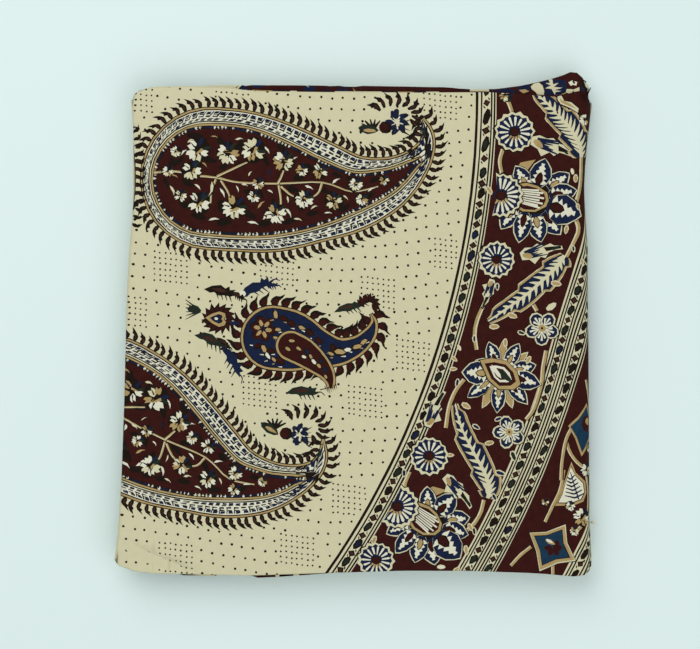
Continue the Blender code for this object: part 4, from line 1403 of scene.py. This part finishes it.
def build_cloth():
    flat, triangles, inks = sheet_mesh()
    solid = (lay(flat[:, 0], flat[:, 1]) - np.array([*STACK_MIDDLE, 0.0])) / 1000
    bm = bmesh.new()
    corners = [bm.verts.new(tuple(p)) for p in solid]
    bm.verts.index_update()
    weave = bm.loops.layers.uv.new("Cloth")
    bake = bm.loops.layers.uv.new("OFBake")
    across, along = read(BAKE_ACROSS, flat[:, 0]), read(BAKE_ALONG, flat[:, 1])
    for triangle, ink in zip(triangles, inks):
        try:
            face = bm.faces.new([corners[triangle[k]] for k in (0, 2, 1)])
        except ValueError:
            continue
        face.material_index = ink
        face.smooth = True
        for loop in face.loops:
            k = loop.vert.index
            loop[weave].uv = (flat[k, 0] / 100, -flat[k, 1] / 100)
            loop[bake].uv = (across[k], 1.0 - along[k])
    mesh = bpy.data.meshes.new("printed_cloth")
    bm.to_mesh(mesh)
    bm.free()
    directions = face_directions(flat)
    plain = np.array([tuple(v.normal) for v in mesh.vertices])
    askew = np.sum(plain * directions, axis=1) < 0.5
    directions[askew] = plain[askew]
    mesh.normals_split_custom_set_from_vertices([tuple(d) for d in directions])
    return put_in_scene("printed_cloth", mesh)


def woven_group():
    """Fine cotton: threads both ways, with slubs, as a bump; and faint mottling of the colour."""
    group = bpy.data.node_groups.new("woven_cotton", "ShaderNodeTree")
    for name, way, kind in (("Ink", "INPUT", "Color"), ("Wear", "INPUT", "Float"),
                            ("Color", "OUTPUT", "Color"), ("Normal", "OUTPUT", "Vector")):
        group.interface.new_socket(name, in_out=way, socket_type="NodeSocket" + kind)

    def node(kind, inputs, operation=None):
        """A node whose inputs are values, or the outputs that feed them."""
        made = group.nodes.new(kind)
        if operation:
            made.operation = operation
        for key, value in inputs.items():
            if isinstance(value, bpy.types.NodeSocket):
                group.links.new(value, made.inputs[key])
            else:
                made.inputs[key].default_value = value
        return made

    inside = node("NodeGroupInput", {})
    place = node("ShaderNodeUVMap", {})
    place.uv_map = "Cloth"
    threads = []
    for stretch in ((150.0, 12.0, 1.0), (12.0, 150.0, 1.0)):
        scale = node("ShaderNodeMapping", {"Vector": place.outputs["UV"], "Scale": stretch})
        thread = node("ShaderNodeTexNoise", {"Vector": scale.outputs["Vector"], "Scale": 1.0, "Detail": 2.0})
        threads.append(thread.outputs["Fac"])
    both = node("ShaderNodeMath", {0: threads[0], 1: threads[1]}, "ADD").outputs[0]
    bump = node("ShaderNodeBump", {"Height": both, "Strength": 0.25, "Distance": 0.00025})
    patchy = node("ShaderNodeTexNoise", {"Vector": place.outputs["UV"], "Scale": 22.0, "Detail": 4.0})
    total = node("ShaderNodeMath", {0: both, 1: 0.5, 2: patchy.outputs["Fac"]}, "MULTIPLY_ADD")
    centred = node("ShaderNodeMath", {0: total.outputs[0], 1: 1.0}, "SUBTRACT")
    worn = node("ShaderNodeMath", {0: centred.outputs[0], 1: inside.outputs["Wear"], 2: 1.0}, "MULTIPLY_ADD")
    tint = node("ShaderNodeVectorMath", {0: inside.outputs["Ink"], "Scale": worn.outputs[0]}, "SCALE")
    node("NodeGroupOutput", {"Color": tint.outputs["Vector"], "Normal": bump.outputs["Normal"]})
    return group


def matt(name, roughness, colour=None):
    """A plain dull material, and its shader."""
    material = bpy.data.materials.new(name)
    material.use_nodes = True
    shader = material.node_tree.nodes["Principled BSDF"]
    shader.inputs["Roughness"].default_value = roughness
    if colour:
        shader.inputs["Base Color"].default_value = (*colour, 1.0)
    return material, shader


cloth = build_cloth()
cotton_group = woven_group()
for ink, (colour, wear) in INKS.items():
    material, shader = matt("cotton_" + ink, 0.88)
    shader.inputs["Specular IOR Level"].default_value = 0.1
    cotton = material.node_tree.nodes.new("ShaderNodeGroup")
    cotton.node_tree = cotton_group
    cotton.inputs["Ink"].default_value = (*colour, 1.0)
    cotton.inputs["Wear"].default_value = wear * 2.2
    material.node_tree.links.new(cotton.outputs["Color"], shader.inputs["Base Color"])
    material.node_tree.links.new(cotton.outputs["Normal"], shader.inputs["Normal"])
    cloth.data.materials.append(material)


# The frayed end: a little tuft of loose pale fibres of the cloth, at the right-hand edge near the front. Each
# fibre's row gives how far it reaches out, along the edge and up, and its curl. Sizes in mm.
TUFT_ROOT = (149.2, -121.0, 9.5)
TUFT = (
    (3.6, 5.0, 2.0, 0.4), (4.4, 2.2, 2.6, -0.6), (5.0, -0.8, 1.2, 0.5), (4.6, -3.4, 0.6, -0.5),
    (3.0, -5.2, 1.6, 0.6), (3.2, 3.6, -0.6, -0.4), (4.0, -2.0, -1.0, 0.3),
)
SUNK = 0.8  # how far a fibre starts inside the cloth
fibres = bmesh.new()
for reach, along_y, lift, curl in TUFT:
    rings = []
    for t in (i / 6 for i in range(7)):
        x = TUFT_ROOT[0] - SUNK + (reach + SUNK) * t - STACK_MIDDLE[0]
        y = TUFT_ROOT[1] + along_y * t * t + curl * math.sin(5 * t) - STACK_MIDDLE[1]
        z = TUFT_ROOT[2] + lift * math.sin(2.4 * t)
        thick = 0.2 * (1.0 - 0.6 * t)
        ring = [(x, y + thick * math.cos(a), z + thick * math.sin(a)) for a in (0.5, 2.6, 4.7)]
        rings.append([fibres.verts.new(Vector(p) / 1000) for p in ring])
    for low, high in zip(rings, rings[1:]):
        for k in range(3):
            fibres.faces.new((low[k], low[(k + 1) % 3], high[(k + 1) % 3], high[k]))
    fibres.faces.new(rings[0][::-1])
    fibres.faces.new(rings[-1])
bmesh.ops.recalc_face_normals(fibres, faces=fibres.faces[:])
tuft_mesh = bpy.data.meshes.new("frayed_end")
fibres.to_mesh(tuft_mesh)
fibres.free()
tuft = put_in_scene("frayed_end", tuft_mesh)
tuft.data.materials.append(matt("loose_fibre", 0.95, (0.62, 0.57, 0.42))[0])
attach(tuft, "root")

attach(cloth, "root")
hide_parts("folded_cloth")


# The pale surface that the cloth lies on, plain and dull, with soft daylight from a window and from the room,
# and the camera straight above the stack.
floor_mesh = bpy.data.meshes.new("floor")
floor_mesh.from_pydata([(-1.6, -1.6, 0), (1.6, -1.6, 0), (1.6, 1.6, 0), (-1.6, 1.6, 0)], [], [(0, 1, 2, 3)])
floor = put_in_scene("floor", floor_mesh)
floor.data.materials.append(matt("pale_surface", 0.7, (0.745, 0.863, 0.837))[0])

# Its two lamps: name, place, width in metres, power in watts.
LAMPS = (("window", (-0.5, 0.9, 1.3), 1.6, 14.0), ("room", (0.5, -0.7, 1.5), 2.0, 12.4))
for name, place, size, power in LAMPS:
    light = bpy.data.lights.new(name, "AREA")
    light.shape = "SQUARE"
    light.size = size
    light.energy = power
    lamp = put_in_scene(name, light)
    lamp.location = place
    lamp.rotation_euler = Vector(place).to_track_quat("Z", "Y").to_euler()
world = bpy.data.worlds.new("soft_room")
world.use_nodes = True
world.node_tree.nodes["Background"].inputs["Color"].default_value = (0.86, 0.93, 0.95, 1.0)
world.node_tree.nodes["Background"].inputs["Strength"].default_value = 0.46
bpy.context.scene.world = world
bpy.context.scene.view_settings.view_transform = "Standard"

lens = bpy.data.cameras.new("camera")
lens.lens = 130.0
lens.sensor_width = 36.0
camera = put_in_scene("camera", lens)
camera.location = ((-2.5 - STACK_MIDDLE[0]) / 1000, (3.4 - STACK_MIDDLE[1]) / 1000, 1.6)
bpy.context.scene.camera = camera
